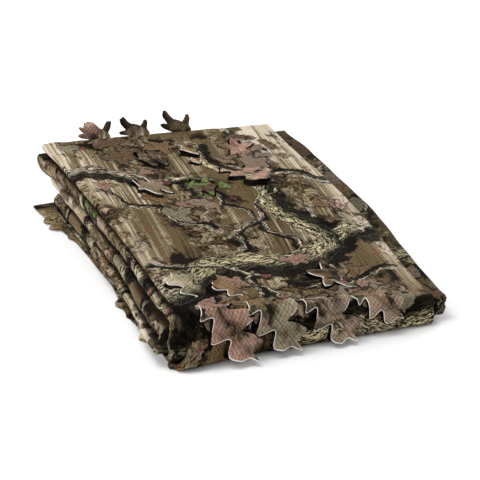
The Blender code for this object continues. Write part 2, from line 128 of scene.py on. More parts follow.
@dataclass(frozen=True)
class Ply:
    """One layer of the folded section and the levels that it lies at, as pairs of both halves.

    Levels are shares of the pack's height along the left edge, at the back and at the front, and
    along the right edge. rank is how many plies lie outside it, and recess how far in front of the
    top ply's back edge it ends.
    """

    name: str
    back: Pair
    front: Pair
    right: Pair
    rank: float
    recess: Pair


@dataclass(frozen=True)
class Run:
    """A ply's run across the section and the fold after it, in flat strips."""

    ply: str
    start: str
    end: str
    shares: tuple[float, ...]
    fold_strips: int


def even(strips: int) -> tuple[float, ...]:
    """Shares of a run that is cut in even strips."""
    return tuple(strip / strips for strip in range(strips))


TOP_RUN = 1  # the top ply's number in FoldedPack.section
EDGE_SHARES = (0.0, 0.012, 0.03, 0.06, 0.11, 0.18, 0.3, 0.45, 0.6, 0.75, 0.86, 0.93, 0.96, 0.98)


@dataclass
class FoldedPack:
    """The folded form: it maps the flat sheet to its places in the pack.

    A flat place is a row of (across, along) on the sheet before it is folded. The plies run back
    and forth across X, ply over ply. The section so made is swept along a U:
    from the upper back edge forward, round the front and back beneath. A place along the sweep is
    a station: 0 to 1 on the upper half, 1 to 2 round the front and 2 to 3 on the lower half.
    """

    sheet: float = 0.0010
    width: float = 0.227
    depth: float = 0.356
    front_flat: float = 0.052
    fold_flat: float = 0.010
    back_left: float = 0.0615
    back_right: float = 0.0475
    front_left: float = 0.0480
    front_right: float = 0.0245
    right_swell: float = 0.0030
    level_front: float = -0.150
    rise_ease: float = 0.06
    foot_reach: float = 0.0125
    lean: float = math.radians(13.0)
    corner_reach: float = 0.0210
    corner_lean: float = math.radians(21.7)
    corner_width: float = 0.060
    outer_roundness: float = 0.18
    inner_roundness: float = 0.49
    packing_left: float = 0.62
    packing_right: float = 1.0
    front_ply_gap: float = 0.0008
    plumpness: float = 0.9
    middle: Pair = (0.0041, -0.0100)
    slope_step: float = 2e-4
    ripple_waves: Pair = (0.123, 0.047)
    ripple_share: float = 0.6
    ripple_phase: float = 1.7
    stations: tuple[float, ...] = (0.0, 0.12, 0.5, 1.0, 1.5, 2.0, 2.3, 2.5, 2.7, 3.0)
    reaches: dict[str, tuple[float, ...]] = field(default_factory=lambda: {
        "return_end": (0.099, 0.101, 0.105, 0.099, 0.099, 0.098, 0.097, 0.096, 0.095, 0.094),
        "top_right": (0.1135, 0.1145, 0.119, 0.114, 0.113, 0.112, 0.111, 0.11, 0.109, 0.108),
        "top_left": (-0.1135, -0.111, -0.109, -0.113, -0.11, -0.121, -0.1225, -0.1145, -0.1135, -0.124),
        "right_roll": (0.13, 0.134, 0.1365, 0.1285, 0.126, 0.124, 0.122, 0.12, 0.118, 0.116),
        "left_roll": (-0.122, -0.114, -0.1125, -0.119, -0.125, -0.125, -0.118, -0.116, -0.113, -0.112),
        "right_fold": (0.117, 0.12, 0.122, 0.123, 0.122, 0.12, 0.118, 0.116, 0.114, 0.112),
        "left_nose": (-0.114, -0.114, -0.1165, -0.1265, -0.133, -0.1335, -0.123, -0.118, -0.115, -0.113),
        "inmost_end": (0.098, 0.099, 0.1, 0.102, 0.102, 0.102, 0.101, 0.1, 0.098, 0.096),
    })
    plies: dict[str, Ply] = field(default_factory=lambda: {ply.name: ply for ply in (
        Ply("return", (0.955, 0.045), (0.955, 0.045), (0.915, 0.085), 0.5, (0.0, 0.0)),
        Ply("top", (1.0, 0.0), (1.0, 0.0), (1.0, 0.0), 0.0, (0.0, 0.0)),
        Ply("second", (0.93, 0.05), (0.93, 0.05), (0.835, 0.165), 1.0, (0.003, 0.006)),
        Ply("third", (0.885, 0.1), (0.885, 0.095), (0.755, 0.245), 2.0, (0.005, 0.02)),
        Ply("fourth", (0.72, 0.15), (0.68, 0.14), (0.685, 0.315), 3.0, (0.026, 0.03)),
        Ply("fifth", (0.675, 0.2), (0.635, 0.185), (0.615, 0.385), 4.0, (0.022, 0.026)),
        Ply("inmost", (0.5, 0.45), (0.37, 0.325), (0.545, 0.455), 5.0, (0.034, 0.038)),
    )})
    section: tuple[Run, ...] = (
        Run("return", "return_end", "top_right", even(4), 7),
        Run("top", "top_right", "top_left", even(82), 8),
        Run("second", "top_left", "right_roll", EDGE_SHARES, 8),
        Run("third", "right_roll", "left_roll", EDGE_SHARES, 9),
        Run("fourth", "left_roll", "right_fold", EDGE_SHARES, 6),
        Run("fifth", "right_fold", "left_nose", EDGE_SHARES, 9),
        Run("inmost", "left_nose", "inmost_end", EDGE_SHARES, 0),
    )
    ripples: dict[str, float] = field(default_factory=lambda: {
        "top_left": 0.0002, "left_roll": 0.0005, "left_nose": 0.0006,
        "right_roll": 0.0004, "top_right": 0.0002, "right_fold": 0.0004,
    })
    base_tips: tuple[tuple[float, float, float], ...] = (
        (-0.164, 0.004, 0.005), (-0.106, 0.0075, 0.005), (-0.116, 0.0035, 0.004),
        (-0.037, 0.005, 0.0055), (-0.061, 0.0016, 0.003), (0.152, 0.006, 0.006),
        (0.137, 0.0085, 0.0045), (0.11, 0.0025, 0.005),
    )

    def __post_init__(self) -> None:
        """Work out each run's flat start and flat length, under the name of its ply."""
        self.inmost_rank = self.plies["inmost"].rank
        self.spans: dict[str, Pair] = {}
        start = 0.0
        for run in self.section:
            length = abs(self.reaches[run.end][0] - self.reaches[run.start][0])
            self.spans[run.ply] = (start, length)
            start += length + (self.fold_flat if run.fold_strips else 0.0)
        self.flat_width = start
        self.flat_length = 2.0 * self.depth + self.front_flat

    def reach_at(self, name: str, station: Array) -> Array:
        """Read a row of reaches at any station.

        The value eases between its knots, plus a ripple of two sines along the edge. The lowest
        left fold also has narrow tips, each a bell curve along Y.

        Args:
            name: the row's name.
            station: places along the sweep.

        Returns:
            X of the edge or fold there.
        """
        knots = np.asarray(self.stations)
        values = np.asarray(self.reaches[name])
        cell = np.clip(np.searchsorted(knots, station, side="right") - 1, 0, len(knots) - 2)
        share = smooth_step((station - knots[cell]) / (knots[cell + 1] - knots[cell]))
        reach = mix(values[cell], values[cell + 1], share)
        run = station * self.depth
        phase = self.ripple_phase * len(name)
        long_wave, short_wave = self.ripple_waves
        wave = np.sin(run * 2 * np.pi / long_wave + phase)
        wave = wave + self.ripple_share * np.sin(run * 2 * np.pi / short_wave + 2 * phase)
        reach = reach + self.ripples.get(name, 0.0) * wave
        if name == "top_left":
            y = (station - 2.0) * self.depth - self.depth / 2 + self.foot_reach
            for place, height, spread in self.base_tips:
                reach = reach - height * np.exp(-((y - place) / spread) ** 2) * (station > 2.0)
        return reach

    def back_share(self, y: Array) -> Array:
        """Share of the way from level_front to the back edge, eased where it starts to rise.

        Args:
            y: places from front to back.

        Returns:
            The share, 0 to 1.
        """
        share = (y - self.level_front) / (self.depth / 2 - self.level_front)
        ease = self.rise_ease
        eased = np.clip(share + ease, 0.0, 2.0 * ease) ** 2 / (4.0 * ease)
        return np.minimum(np.maximum(share, eased), 1.0)

    def height(self, x: Array, y: Array) -> Array:
        """Height of the pack's top: bilinear between its corners, with a swell on the right.

        Args:
            x: places across.
            y: places from front to back.

        Returns:
            The height there.
        """
        right = np.clip(x / self.width + 0.5, 0.0, 1.0)
        back = self.back_share(y)
        front_line = mix(self.front_left, self.front_right, right)
        flat_top = mix(front_line, mix(self.back_left, self.back_right, right), back)
        return flat_top + self.right_swell * right * np.sin(np.pi * back) ** 2

    def level(self, name: str, x: Array, y: Array, half: Half) -> Array:
        """Level of a ply as a share of the pack's height.

        In the middle the plies are evenly spaced by rank, and each edge pulls them together.

        Args:
            name: the ply.
            x: places across.
            y: places from front to back.
            half: the half of the pack.

        Returns:
            The level, 0 to 1.
        """
        ply = self.plies[name]
        left = mix(ply.front[half], ply.back[half], self.back_share(y))
        even_low = ply.rank / (2.0 * self.inmost_rank + 1.0)
        middle = 1.0 - even_low if half is Half.UPPER else even_low
        left_pull = (left - middle) * smooth_step(-2.0 * x / self.width)
        right_pull = (ply.right[half] - middle) * smooth_step(2.0 * x / self.width)
        return middle + left_pull + right_pull

    def fold_radius(self, before: str, after: str, edge: Array, station: Array) -> Array:
        """Half the distance between two plies at the edge where they fold into each other.

        Args:
            before: the ply that runs into the fold.
            after: the ply that runs out of it.
            edge: X of the fold.
            station: places along the sweep.

        Returns:
            The radius there.
        """
        front = np.full_like(edge, self.level_front)
        gaps = []
        for half in Half:
            gap = self.level(before, edge, front, half) - self.level(after, edge, front, half)
            gaps.append(np.abs(gap) * self.height(edge, front) / 2)
        return self.plumpness * mix(gaps[0], gaps[1], np.clip(station - 1.0, 0.0, 1.0))

    def front_turn(self, x: Array, share: Array, upper: Array, lower: Array, inset: Array,
                   roundness: Array) -> tuple[Array, Array, Array, Array, Array]:
        """Run down the front of a ply: a round shoulder, a leaning face and a round foot.

        Two arcs of one radius are joined by a straight line that leans by an angle.

        Args:
            x: places across, on which the lean depends.
            share: places along the turn, 0 to 1.
            upper: level where the shoulder starts.
            lower: level where the foot ends.
            inset: how far the ply lies behind the outermost one.
            roundness: radius as a share of the rise.

        Returns:
            Y, Z, the Y where the shoulder starts, the Y where the foot ends, and the length.
        """
        corner = 1.0 - smooth_step((x + self.width / 2) / self.corner_width)
        lean = mix(self.lean, self.corner_lean, corner)
        shoulder_angle = math.pi / 2 - lean
        foot_angle = math.pi / 2 + lean
        rise = upper - lower
        radius = roundness * rise
        shoulder_tangent = radius * np.tan(shoulder_angle / 2)
        foot_tangent = radius * np.tan(foot_angle / 2)
        face = np.maximum(rise / np.cos(lean) - shoulder_tangent - foot_tangent, 0.0)
        length = radius * (shoulder_angle + foot_angle) + face
        done = share * length
        shoulder = np.clip(done / radius, 0.0, shoulder_angle)
        straight = np.clip(done - radius * shoulder_angle, 0.0, face)
        foot = np.clip((done - radius * shoulder_angle - face) / radius, 0.0, foot_angle)
        face_line = inset - self.depth / 2 - mix(self.foot_reach, self.corner_reach, corner)
        start = face_line + upper * np.tan(lean) + shoulder_tangent
        end = face_line + lower * np.tan(lean) + foot_tangent
        foot_drop = np.cos(shoulder_angle + foot) - np.cos(shoulder_angle)
        foot_run = np.sin(shoulder_angle + foot) - np.sin(shoulder_angle)
        y = start - radius * np.sin(shoulder) - straight * np.sin(lean) - radius * foot_run
        z = upper - radius * (1.0 - np.cos(shoulder)) - straight * np.cos(lean) + radius * foot_drop
        return y, z, start, end, length

    def sweep(self, x: Array, levels: Callable[[Half, Array], Array], rank: Array,
              recess: tuple[Array, Array], station: Array) -> tuple[Array, Array]:
        """Carry points of the section along the U: forward, round the front and back beneath.

        Args:
            x: places across.
            levels: function of (half, y) that gives each point's level.
            rank: how many plies lie outside each point.
            recess: how far short of the back edge each point's ply ends.
            station: places along the sweep.

        Returns:
            Y and Z.
        """
        front = np.full_like(x, self.level_front)
        rise = self.height(x, front) - self.sheet
        up_front = levels(Half.UPPER, front)
        low_front = levels(Half.LOWER, front)
        packing = mix(self.packing_left, self.packing_right, smooth_step(x / self.width + 0.5))
        inset = packing * (1.0 - up_front) * rise + self.front_ply_gap * rank
        roundness = mix(self.outer_roundness, self.inner_roundness, rank / self.inmost_rank)
        ground = self.sheet / 2
        turn_share = np.clip(station - 1.0, 0.0, 1.0)
        turn_y, turn_z, start, end, _ = self.front_turn(
            x, turn_share, ground + up_front * rise, ground + low_front * rise, inset, roundness)
        back = self.depth / 2
        upper_y = mix(back - recess[Half.UPPER], start, np.clip(station, 0.0, 1.0))
        lower_y = mix(end, back - recess[Half.LOWER], np.clip(station - 2.0, 0.0, 1.0))
        upper_z = ground + levels(Half.UPPER, upper_y) * (self.height(x, upper_y) - self.sheet)
        lower_z = ground + levels(Half.LOWER, lower_y) * (self.height(x, lower_y) - self.sheet)
        y = np.where(station < 1.0, upper_y, np.where(station <= 2.0, turn_y, lower_y))
        z = np.where(station < 1.0, upper_z, np.where(station <= 2.0, turn_z, lower_z))
        return y, z

    def roots(self, index: int, station: Array) -> tuple[Array, Array, Array]:
        """Find where a run starts and ends, clear of its folds.

        Args:
            index: the run's number in the section.
            station: places along the sweep.

        Returns:
            X where it starts, X where it ends, and the reach of the fold after it.
        """
        run = self.section[index]
        near = self.reach_at(run.start, station)
        far = self.reach_at(run.end, station)
        outward = np.sign(far - near)
        near_root, far_root = near, far
        if index > 0:
            before = self.section[index - 1].ply
            near_root = near + outward * self.fold_radius(before, run.ply, near, station)
        if run.fold_strips:
            after = self.section[index + 1].ply
            far_root = far - outward * self.fold_radius(run.ply, after, far, station)
        return near_root, far_root, outward * np.abs(far - far_root)

    def station_of(self, along: Array) -> Array:
        """Find the station of flat places along the cloth.

        Args:
            along: flat places along the cloth.

        Returns:
            Their stations, 0 to 3.
        """
        upper = np.clip(along / self.depth, 0.0, 1.0)
        front = np.clip((along - self.depth) / self.front_flat, 0.0, 1.0)
        lower = np.clip((along - self.depth - self.front_flat) / self.depth, 0.0, 1.0)
        return upper + front + lower

    def fold(self, flat: Array) -> Array:
        """Fold the flat cloth.

        A run goes straight between its roots, and the fold after it is half an ellipse from one
        ply's level to the next.

        Args:
            flat: flat places.

        Returns:
            Rows of (X, Y, Z), before the pack is centred.
        """
        across = flat[:, 0]
        station = self.station_of(flat[:, 1])
        places = np.zeros((len(flat), 3))
        for index, run in enumerate(self.section):
            start, length = self.spans[run.ply]
            end = start + length + (self.fold_flat if run.fold_strips else 0.0)
            chosen = (across >= start) & (across <= end + 1e-9)
            share = np.clip((across[chosen] - start) / length, 0.0, 1.0)
            turn = np.clip((across[chosen] - start - length) / self.fold_flat, 0.0, 1.0)
            ply = self.plies[run.ply]
            after = self.plies[self.section[index + 1].ply] if run.fold_strips else ply
            blend = (1.0 - np.cos(np.pi * turn)) / 2
            near_root, far_root, reach = self.roots(index, station[chosen])
            x = mix(near_root, far_root, share) + reach * np.sin(np.pi * turn)
            recess = tuple(mix(ply.recess[half], after.recess[half], blend) for half in Half)

            def levels(half: Half, y: Array, x: Array = x, ply: Ply = ply, after: Ply = after,
                       blend: Array = blend) -> Array:
                """Level of a point of this run, between its ply and the next one."""
                return mix(self.level(ply.name, x, y, half), self.level(after.name, x, y, half), blend)

            y, z = self.sweep(x, levels, mix(ply.rank, after.rank, blend), recess, station[chosen])
            places[chosen] = np.stack([x, y, z], axis=1)
        return places

    def past_run(self, name: str, flat: Array) -> Array:
        """How far flat places lie past the end of a ply's run, where its fold starts."""
        start, length = self.spans[name]
        return flat[:, 0] - start - length

    def top_runs(self, x: Array) -> tuple[Array, Array]:
        """Measure the top ply along the cloth.

        Args:
            x: places across.

        Returns:
            Its length from its back edge to its shoulder, and the length round the front.
        """
        rise = self.height(x, np.full_like(x, self.level_front)) - self.sheet
        ground = np.full_like(x, self.sheet / 2)
        still = np.zeros_like(x)
        turned = self.front_turn(x, still, ground + rise, ground, still, self.outer_roundness)
        return self.depth / 2 - turned[2], turned[4]

    def flat_on_top(self, places: Array) -> Array:
        """Turn places on the top ply into flat ones.

        Args:
            places: rows of (x, run), where run starts at the back edge.

        Returns:
            Flat places.
        """
        x, run = places[:, 0], places[:, 1]
        upper_run, front_run = self.top_runs(x)
        on_front = np.maximum(run - upper_run, 0.0) / front_run
        along = np.minimum(run, upper_run) / upper_run * self.depth + on_front * self.front_flat
        near_root, far_root, _ = self.roots(TOP_RUN, self.station_of(along))
        start, length = self.spans["top"]
        return np.stack([start + length * (x - near_root) / (far_root - near_root), along], axis=1)

    def top_of_flat(self, flat: Array) -> Array:
        """Turn flat places on the top ply back into (x, run).

        Args:
            flat: flat places.

        Returns:
            Rows of (x, run).
        """
        near_root, far_root, _ = self.roots(TOP_RUN, self.station_of(flat[:, 1]))
        start, length = self.spans["top"]
        x = mix(near_root, far_root, (flat[:, 0] - start) / length)
        upper_run, front_run = self.top_runs(x)
        on_front = np.clip((flat[:, 1] - self.depth) / self.front_flat, 0.0, 1.0)
        run = np.clip(flat[:, 1] / self.depth, 0.0, 1.0) * upper_run + on_front * front_run
        return np.stack([x, run], axis=1)

    def normals(self, flat: Array) -> Array:
        """Find the folded cloth's normals: the cross product of its slopes across and along.

        Args:
            flat: flat places.

        Returns:
            Rows of unit normals.
        """
        slopes = []
        for step in (np.array([self.slope_step, 0.0]), np.array([0.0, self.slope_step])):
            low = np.maximum(flat, 0.0)
            slopes.append(self.fold(low + step) - self.fold(np.maximum(low - step, 0.0)))
        return unit(np.cross(slopes[0], slopes[1]))


class LeafShape(Enum):
    """Outlines that the die cuts."""

    OAK = "lobes in pairs along a midrib"
    STAR = "points round a middle"


@dataclass(frozen=True)
class LeafCut:
    """A leaf tongue cut in the top ply, hinged at (x, run) and pointing along its heading.

    run is the distance from the back edge along the cloth. A heading of 0 points to the right and
    90 to the front, in degrees. kerf is the gap round it. tone picks its printed tone, rim is how
    much of its pale raw edge shows, partly a painted highlight where it faces the light, and
    own_print how much of a leaf of its own is printed on it, each from 0 to 1.
    """

    name: str
    x: float
    run: float
    heading: float
    length: float
    width: float
    lobes: int
    lift: float
    hinge: float
    shape: LeafShape = LeafShape.OAK
    kerf: float = 0.0009
    tone: float = 0.5
    rim: float = 1.0
    own_print: float = 1.0
    points_a_lobe: int = 18

    def outline(self) -> Array:
        """Outline from one end of the hinge, round the tip, to the other, as rows of (p, q)."""
        made = self.star_outline() if self.shape is LeafShape.STAR else self.oak_outline()
        return np.vstack([(0.0, self.hinge / 2), made, (0.0, -self.hinge / 2)])

    def oak_outline(self) -> Array:
        """Oak leaf: a sine arch times a raised cosine power, with lobes that slant forward.

        half = width / 2 * sqrt(sin(arch)) * (1 - taper * share^3) * (sinus + lobe * wave), and wave
        is a power of half a cosine for each pair of lobes. A finer sine makes each side uneven.

        Returns:
            Rows of (p, q) from the hinge round the tip, without the hinge's ends.
        """
        arch_start, arch_span, arch_power, taper = 0.10, 0.84, 1.15, 0.30
        lobe_phase, lobe_power, sinus, lobe = 0.42, 0.8, 0.34, 0.66
        straight, slant = 0.93, 0.07
        uneven_size, uneven_waves = 0.07, 2.3
        count = self.lobes * self.points_a_lobe
        share = (np.arange(count) + 0.5) / (count + 0.5)
        arch = np.sqrt(np.sin(np.pi * (arch_start + arch_span * share ** arch_power)))
        arch = arch * (1.0 - taper * share ** 3)
        wave = (0.5 + 0.5 * np.cos(2.0 * np.pi * (self.lobes * share - lobe_phase))) ** lobe_power
        sides = []
        for sign, phase in ((1.0, 0.7), (-1.0, 3.1)):
            wobble = np.sin(2.0 * np.pi * uneven_waves * self.lobes * share + phase)
            half = self.width / 2 * arch * (sinus + lobe * wave) * (1.0 + uneven_size * wobble)
            p = self.length * (straight * share + slant * wave)
            sides.append(np.stack([p, sign * half], axis=1))
        return np.vstack([sides[0], (self.length, 0.0), sides[1][::-1]])

    def star_outline(self) -> Array:
        """Star leaf: radius = core + spike * (1 - |sine|)^power, sharp at each of its points.

        Returns:
            Rows of (p, q) round the leaf, without the hinge's ends.
        """
        core, spike, power = 0.42, 0.58, 0.85
        gap = math.atan2(self.hinge / 2, self.length / 2)
        angle = np.linspace(-math.pi + gap, math.pi - gap, self.lobes * self.points_a_lobe)[::-1]
        radius = core + spike * (1.0 - np.abs(np.sin(self.lobes * angle / 2))) ** power
        p = self.length / 2 * (1.0 + radius * np.cos(angle))
        q = self.width / 2 * radius * np.sin(angle)
        return np.stack([p, q], axis=1)

    def axes(self) -> tuple[Array, Array]:
        """Unit vectors forward along the leaf and sideways, on the top ply."""
        cosine, sine = math.cos(math.radians(self.heading)), math.sin(math.radians(self.heading))
        return np.array([cosine, sine]), np.array([-sine, cosine])

    def to_cloth(self, local: Array) -> Array:
        """Place the leaf's own points (p, q) on the top ply as (x, run)."""
        forward, sideways = self.axes()
        return np.array([self.x, self.run]) + local[:, :1] * forward + local[:, 1:] * sideways

    def to_leaf(self, places: Array) -> Array:
        """Turn places (x, run) on the top ply into the leaf's own (p, q)."""
        offset = places - np.array([self.x, self.run])
        return np.stack([offset @ axis for axis in self.axes()], axis=1)


def grow_outline(outline: Array, distance: float) -> Array:
    """Move an open outline outwards, its ends along the hinge.

    Args:
        outline: rows of (p, q).
        distance: how far, or below 0 for inwards.

    Returns:
        The moved outline.
    """
    closed = np.vstack([outline[-1:], outline, outline[:1]])
    edges = np.diff(closed, axis=0)
    normals = unit(np.stack([-edges[:, 1], edges[:, 0]], axis=1))
    grown = outline + unit(normals[:-1] + normals[1:]) * distance
    grown[0] = outline[0] + (0.0, distance)
    grown[-1] = outline[-1] - (0.0, distance)
    return grown


def inside(points: Array, polygon: Array) -> Array:
    """Tell which points lie in a closed polygon, by counting the edges to their right.

    Args:
        points: rows of places.
        polygon: rows of its corners.

    Returns:
        True or False for each point.
    """
    low, high = polygon.min(axis=0), polygon.max(axis=0)
    near = np.flatnonzero(np.all((points >= low) & (points <= high), axis=1))
    start, end = polygon, np.roll(polygon, -1, axis=0)
    px, py = points[near, :1], points[near, 1:2]
    crosses = (start[:, 1] > py) != (end[:, 1] > py)
    rise = np.where(end[:, 1] == start[:, 1], 1.0, end[:, 1] - start[:, 1])
    at_x = start[:, 0] + (py - start[:, 1]) / rise * (end[:, 0] - start[:, 0])
    found = np.zeros(len(points), bool)
    found[near] = (np.count_nonzero(crosses & (px < at_x), axis=1) % 2) == 1
    return found


def distance_to(points: Array, outline: Array, limit: float) -> tuple[Array, Array]:
    """Measure from points to an open outline.

    Args:
        points: rows of places.
        outline: rows of places along the line.
        limit: distance past which nothing is measured.

    Returns:
        Distance to the nearest edge, cut off at the limit, and that edge's number.
    """
    low, high = outline.min(axis=0) - limit, outline.max(axis=0) + limit
    near = np.flatnonzero(np.all((points >= low) & (points <= high), axis=1))
    found = np.full(len(points), limit)
    number = np.zeros(len(points), int)
    if len(near):
        start, span = outline[:-1], np.diff(outline, axis=0)
        offset = points[near, None, :] - start[None, :, :]
        long = np.maximum((span * span).sum(1), 1e-18)
        share = np.clip((offset * span).sum(2) / long, 0.0, 1.0)
        away = np.linalg.norm(offset - share[:, :, None] * span, axis=2)
        found[near] = np.minimum(away.min(1), limit)
        number[near] = away.argmin(1)
    return found, number


@dataclass(frozen=True)
class Stub:
    """A leaf end beyond the top ply's back edge, which stands up and curls.

    fingers are its points as (angle, reach, spread), the angles in degrees: 180 lies to the left
    along the edge. tone picks its printed tone, and dim is how dark it is at its left and right,
    0 to 1. clear is how many degrees off the edge it starts, and tatters how fine it is ragged.
    """

    name: str
    x: float
    hinge: float
    fingers: tuple[tuple[float, float, float], ...]
    tone: float
    dim: Pair
    palm: float = 0.0095
    ragged: float = 0.020
    tatters: float = 37.0
    clear: float = 7.0
    rows: int = 90

    def outline(self) -> Array:
        """Outline the stub beyond the back edge.

        The reach at an angle is the palm's, and each finger raises it in a bell curve round its
        own angle. A fine sine makes the outline ragged.

        Returns:
            Rows of (x, run), the two ends on the edge.
        """
        angle = np.linspace(180.0 - self.clear, self.clear, self.rows)
        reach = np.full(self.rows, self.palm)
        for middle, length, spread in self.fingers:
            bell = np.exp(-np.abs((angle - middle) / spread) ** 3)
            reach = np.maximum(reach, mix(self.palm, length, bell))
        reach *= 1.0 + self.ragged * np.sin(np.radians(angle) * self.tatters)
        turn = np.radians(angle)
        beyond = np.stack([self.x + reach * np.cos(turn), -reach * np.sin(turn)], axis=1)
        left, right = self.x - self.hinge / 2, self.x + self.hinge / 2
        return np.vstack([(left, 0.0), beyond, (right, 0.0)])


@dataclass(frozen=True)
class Crease:
    """A soft trough or ridge on the top ply, between two places (x, run)."""

    start: Pair
    end: Pair
    spread: float
    height: float
    end_fade: float = 3.0

    def offset(self, places: Array) -> Array:
        """Height added on the top ply: a bell across the line that fades towards its ends.

        Args:
            places: rows of (x, run).

        Returns:
            The height at each.
        """
        start, end = np.asarray(self.start), np.asarray(self.end)
        span = end - start
        share = ((places - start) @ span) / (span @ span)
        nearest = start + np.clip(share, 0.0, 1.0)[:, None] * span
        away = np.linalg.norm(places - nearest, axis=1)
        fade = smooth_step(self.end_fade * np.clip(share, 0.0, 1.0))
        fade = fade * smooth_step(self.end_fade * np.clip(1.0 - share, 0.0, 1.0))
        return self.height * np.exp(-(away / self.spread) ** 2) * fade


@dataclass(frozen=True)
class FoldHighlight:
    """How strong a highlight is painted along the cloth's folds, 0 to 1.

    left is a level, a swing, turns along the side and a phase. right is a level, a swing and a
    power of the share along the side.
    """

    width: float = 0.028
    left: tuple[float, float, float, float] = (0.55, 0.22, 9.0, 0.6)
    right: tuple[float, float, float] = (0.45, 1.00, 1.6)
    past_side: float = 0.006
    front_fade: float = 0.030
    rolls: tuple[str, ...] = ("third", "fifth")
    # Highlight painted on the middle of each roll's fold.
    roll_highlight: float = 0.34
    roll_middle: float = 0.45
    roll_spread: float = 0.32

    def over(self, pack: FoldedPack, flat: Array) -> Array:
        """Work out the painted highlight on the top ply's two folded sides and the two rolls at the
        left.

        A side's highlight falls with the distance from its fold, times the level plus the swing's sine.
        A roll's highlight is a bell curve round its fold.

        Args:
            pack: the folded form.
            flat: flat places.

        Returns:
            The painted highlight at each place.
        """
        start, length = pack.spans["top"]
        from_right = flat[:, 0] - start
        from_left = start + length - flat[:, 0]
        share = np.clip(flat[:, 1] / pack.depth, 0.0, 1.0)
        level, swing, turns, phase = self.left
        left = level + swing * np.sin(turns * share + phase)
        left = (1.0 - smooth_step(from_left / self.width)) * left
        level, swing, power = self.right
        right = level + swing * np.sin(np.pi * share ** power)
        right = (1.0 - smooth_step(from_right / self.width)) * right
        reach = smooth_step(1.0 + from_right / self.past_side)
        reach = reach * smooth_step(1.0 + from_left / self.past_side)
        front = 1.0 - smooth_step((flat[:, 1] - pack.depth) / self.front_fade)
        highlit = np.maximum(left, right) * reach * front
        for name in self.rolls:
            turn = pack.past_run(name, flat) / pack.fold_flat
            bell = np.exp(-((turn - self.roll_middle) / self.roll_spread) ** 2)
            highlit = np.maximum(highlit, self.roll_highlight * bell)
        return highlit


@dataclass(frozen=True)
class GapShade:
    """Shade painted into the print, 0 to 1: under the top ply, on the left rolls' front and between the
    rolls.

    Pairs are where an easing starts and how long it takes. roll_share's are shares of the ply's
    run, bottom's and top's of a fold's flat length, and bottom_lower's are metres.
    """

    under: float = 0.84
    side_ease: float = 0.008
    roll: float = 0.44
    roll_share: Pair = (0.80, 0.1)
    front_ease: float = 0.02
    corner: float = 0.48
    corner_start: float = 0.010
    corner_side: float = 0.3
    gap: float = 0.92
    bottom: Pair = (0.66, 0.5)
    bottom_end: float = 0.05
    bottom_lower: Pair = (0.026, 0.01)
    top: Pair = (-0.02, 0.35)
    top_start: float = 0.30
    top_ease: float = 0.030

    def between_rolls(self, pack: FoldedPack, flat: Array, name: str) -> Array:
        """Shade the gaps above and below a fold at the left.

        Args:
            pack: the folded form.
            flat: flat places.
            name: the ply that runs into the fold.

        Returns:
            The darkness at each place.
        """
        fold = pack.fold_flat
        on_top = name == "top"
        into = pack.past_run(name, flat)
        bottom = smooth_step((into - self.bottom[0] * fold) / (self.bottom[1] * fold))
        bottom *= 1.0 - smooth_step((into - fold) / self.bottom_end)
        top = smooth_step(1.0 + (into - self.top_start * fold) / self.top_ease) * (not on_top)
        top *= 1.0 - smooth_step((into - self.top[0] * fold) / (self.top[1] * fold))
        lower = smooth_step((flat[:, 1] - pack.depth - pack.front_flat) / self.front_ease) * on_top
        after = smooth_step((into - self.bottom_lower[0]) / self.bottom_lower[1])
        bottom *= 1.0 - lower * (1.0 - after)
        return self.gap * np.maximum(bottom, top)

    def over(self, pack: FoldedPack, flat: Array) -> Array:
        """Shade the ply under the top one, less towards its roll, then the front and the gaps.

        Args:
            pack: the folded form.
            flat: flat places.

        Returns:
            The darkest of the shades at each place.
        """
        start, length = pack.spans["second"]
        inward = smooth_step((flat[:, 0] - start) / self.side_ease)
        roll = smooth_step((start + length + pack.fold_flat - flat[:, 0]) / self.side_ease)
        from_roll = flat[:, 0] - start - length * self.roll_share[0]
        deep = mix(1.0, self.roll, smooth_step(from_roll / (length * self.roll_share[1])))
        past = flat[:, 1] - pack.depth - pack.front_flat
        lower = smooth_step(past / self.front_ease)
        dark = inward * roll * deep * self.under * (1.0 - lower)
        face = smooth_step((flat[:, 1] - pack.depth - self.corner_start) / self.front_ease)
        face *= 1.0 - smooth_step((past - self.front_ease) / self.front_ease)
        beyond = flat[:, 0] > sum(pack.spans["top"]) + self.corner_side * pack.fold_flat
        dark = np.maximum(dark, self.corner * face * beyond)
        for name in ("top", "third", "fifth"):
            dark = np.maximum(dark, self.between_rolls(pack, flat, name))
        return dark


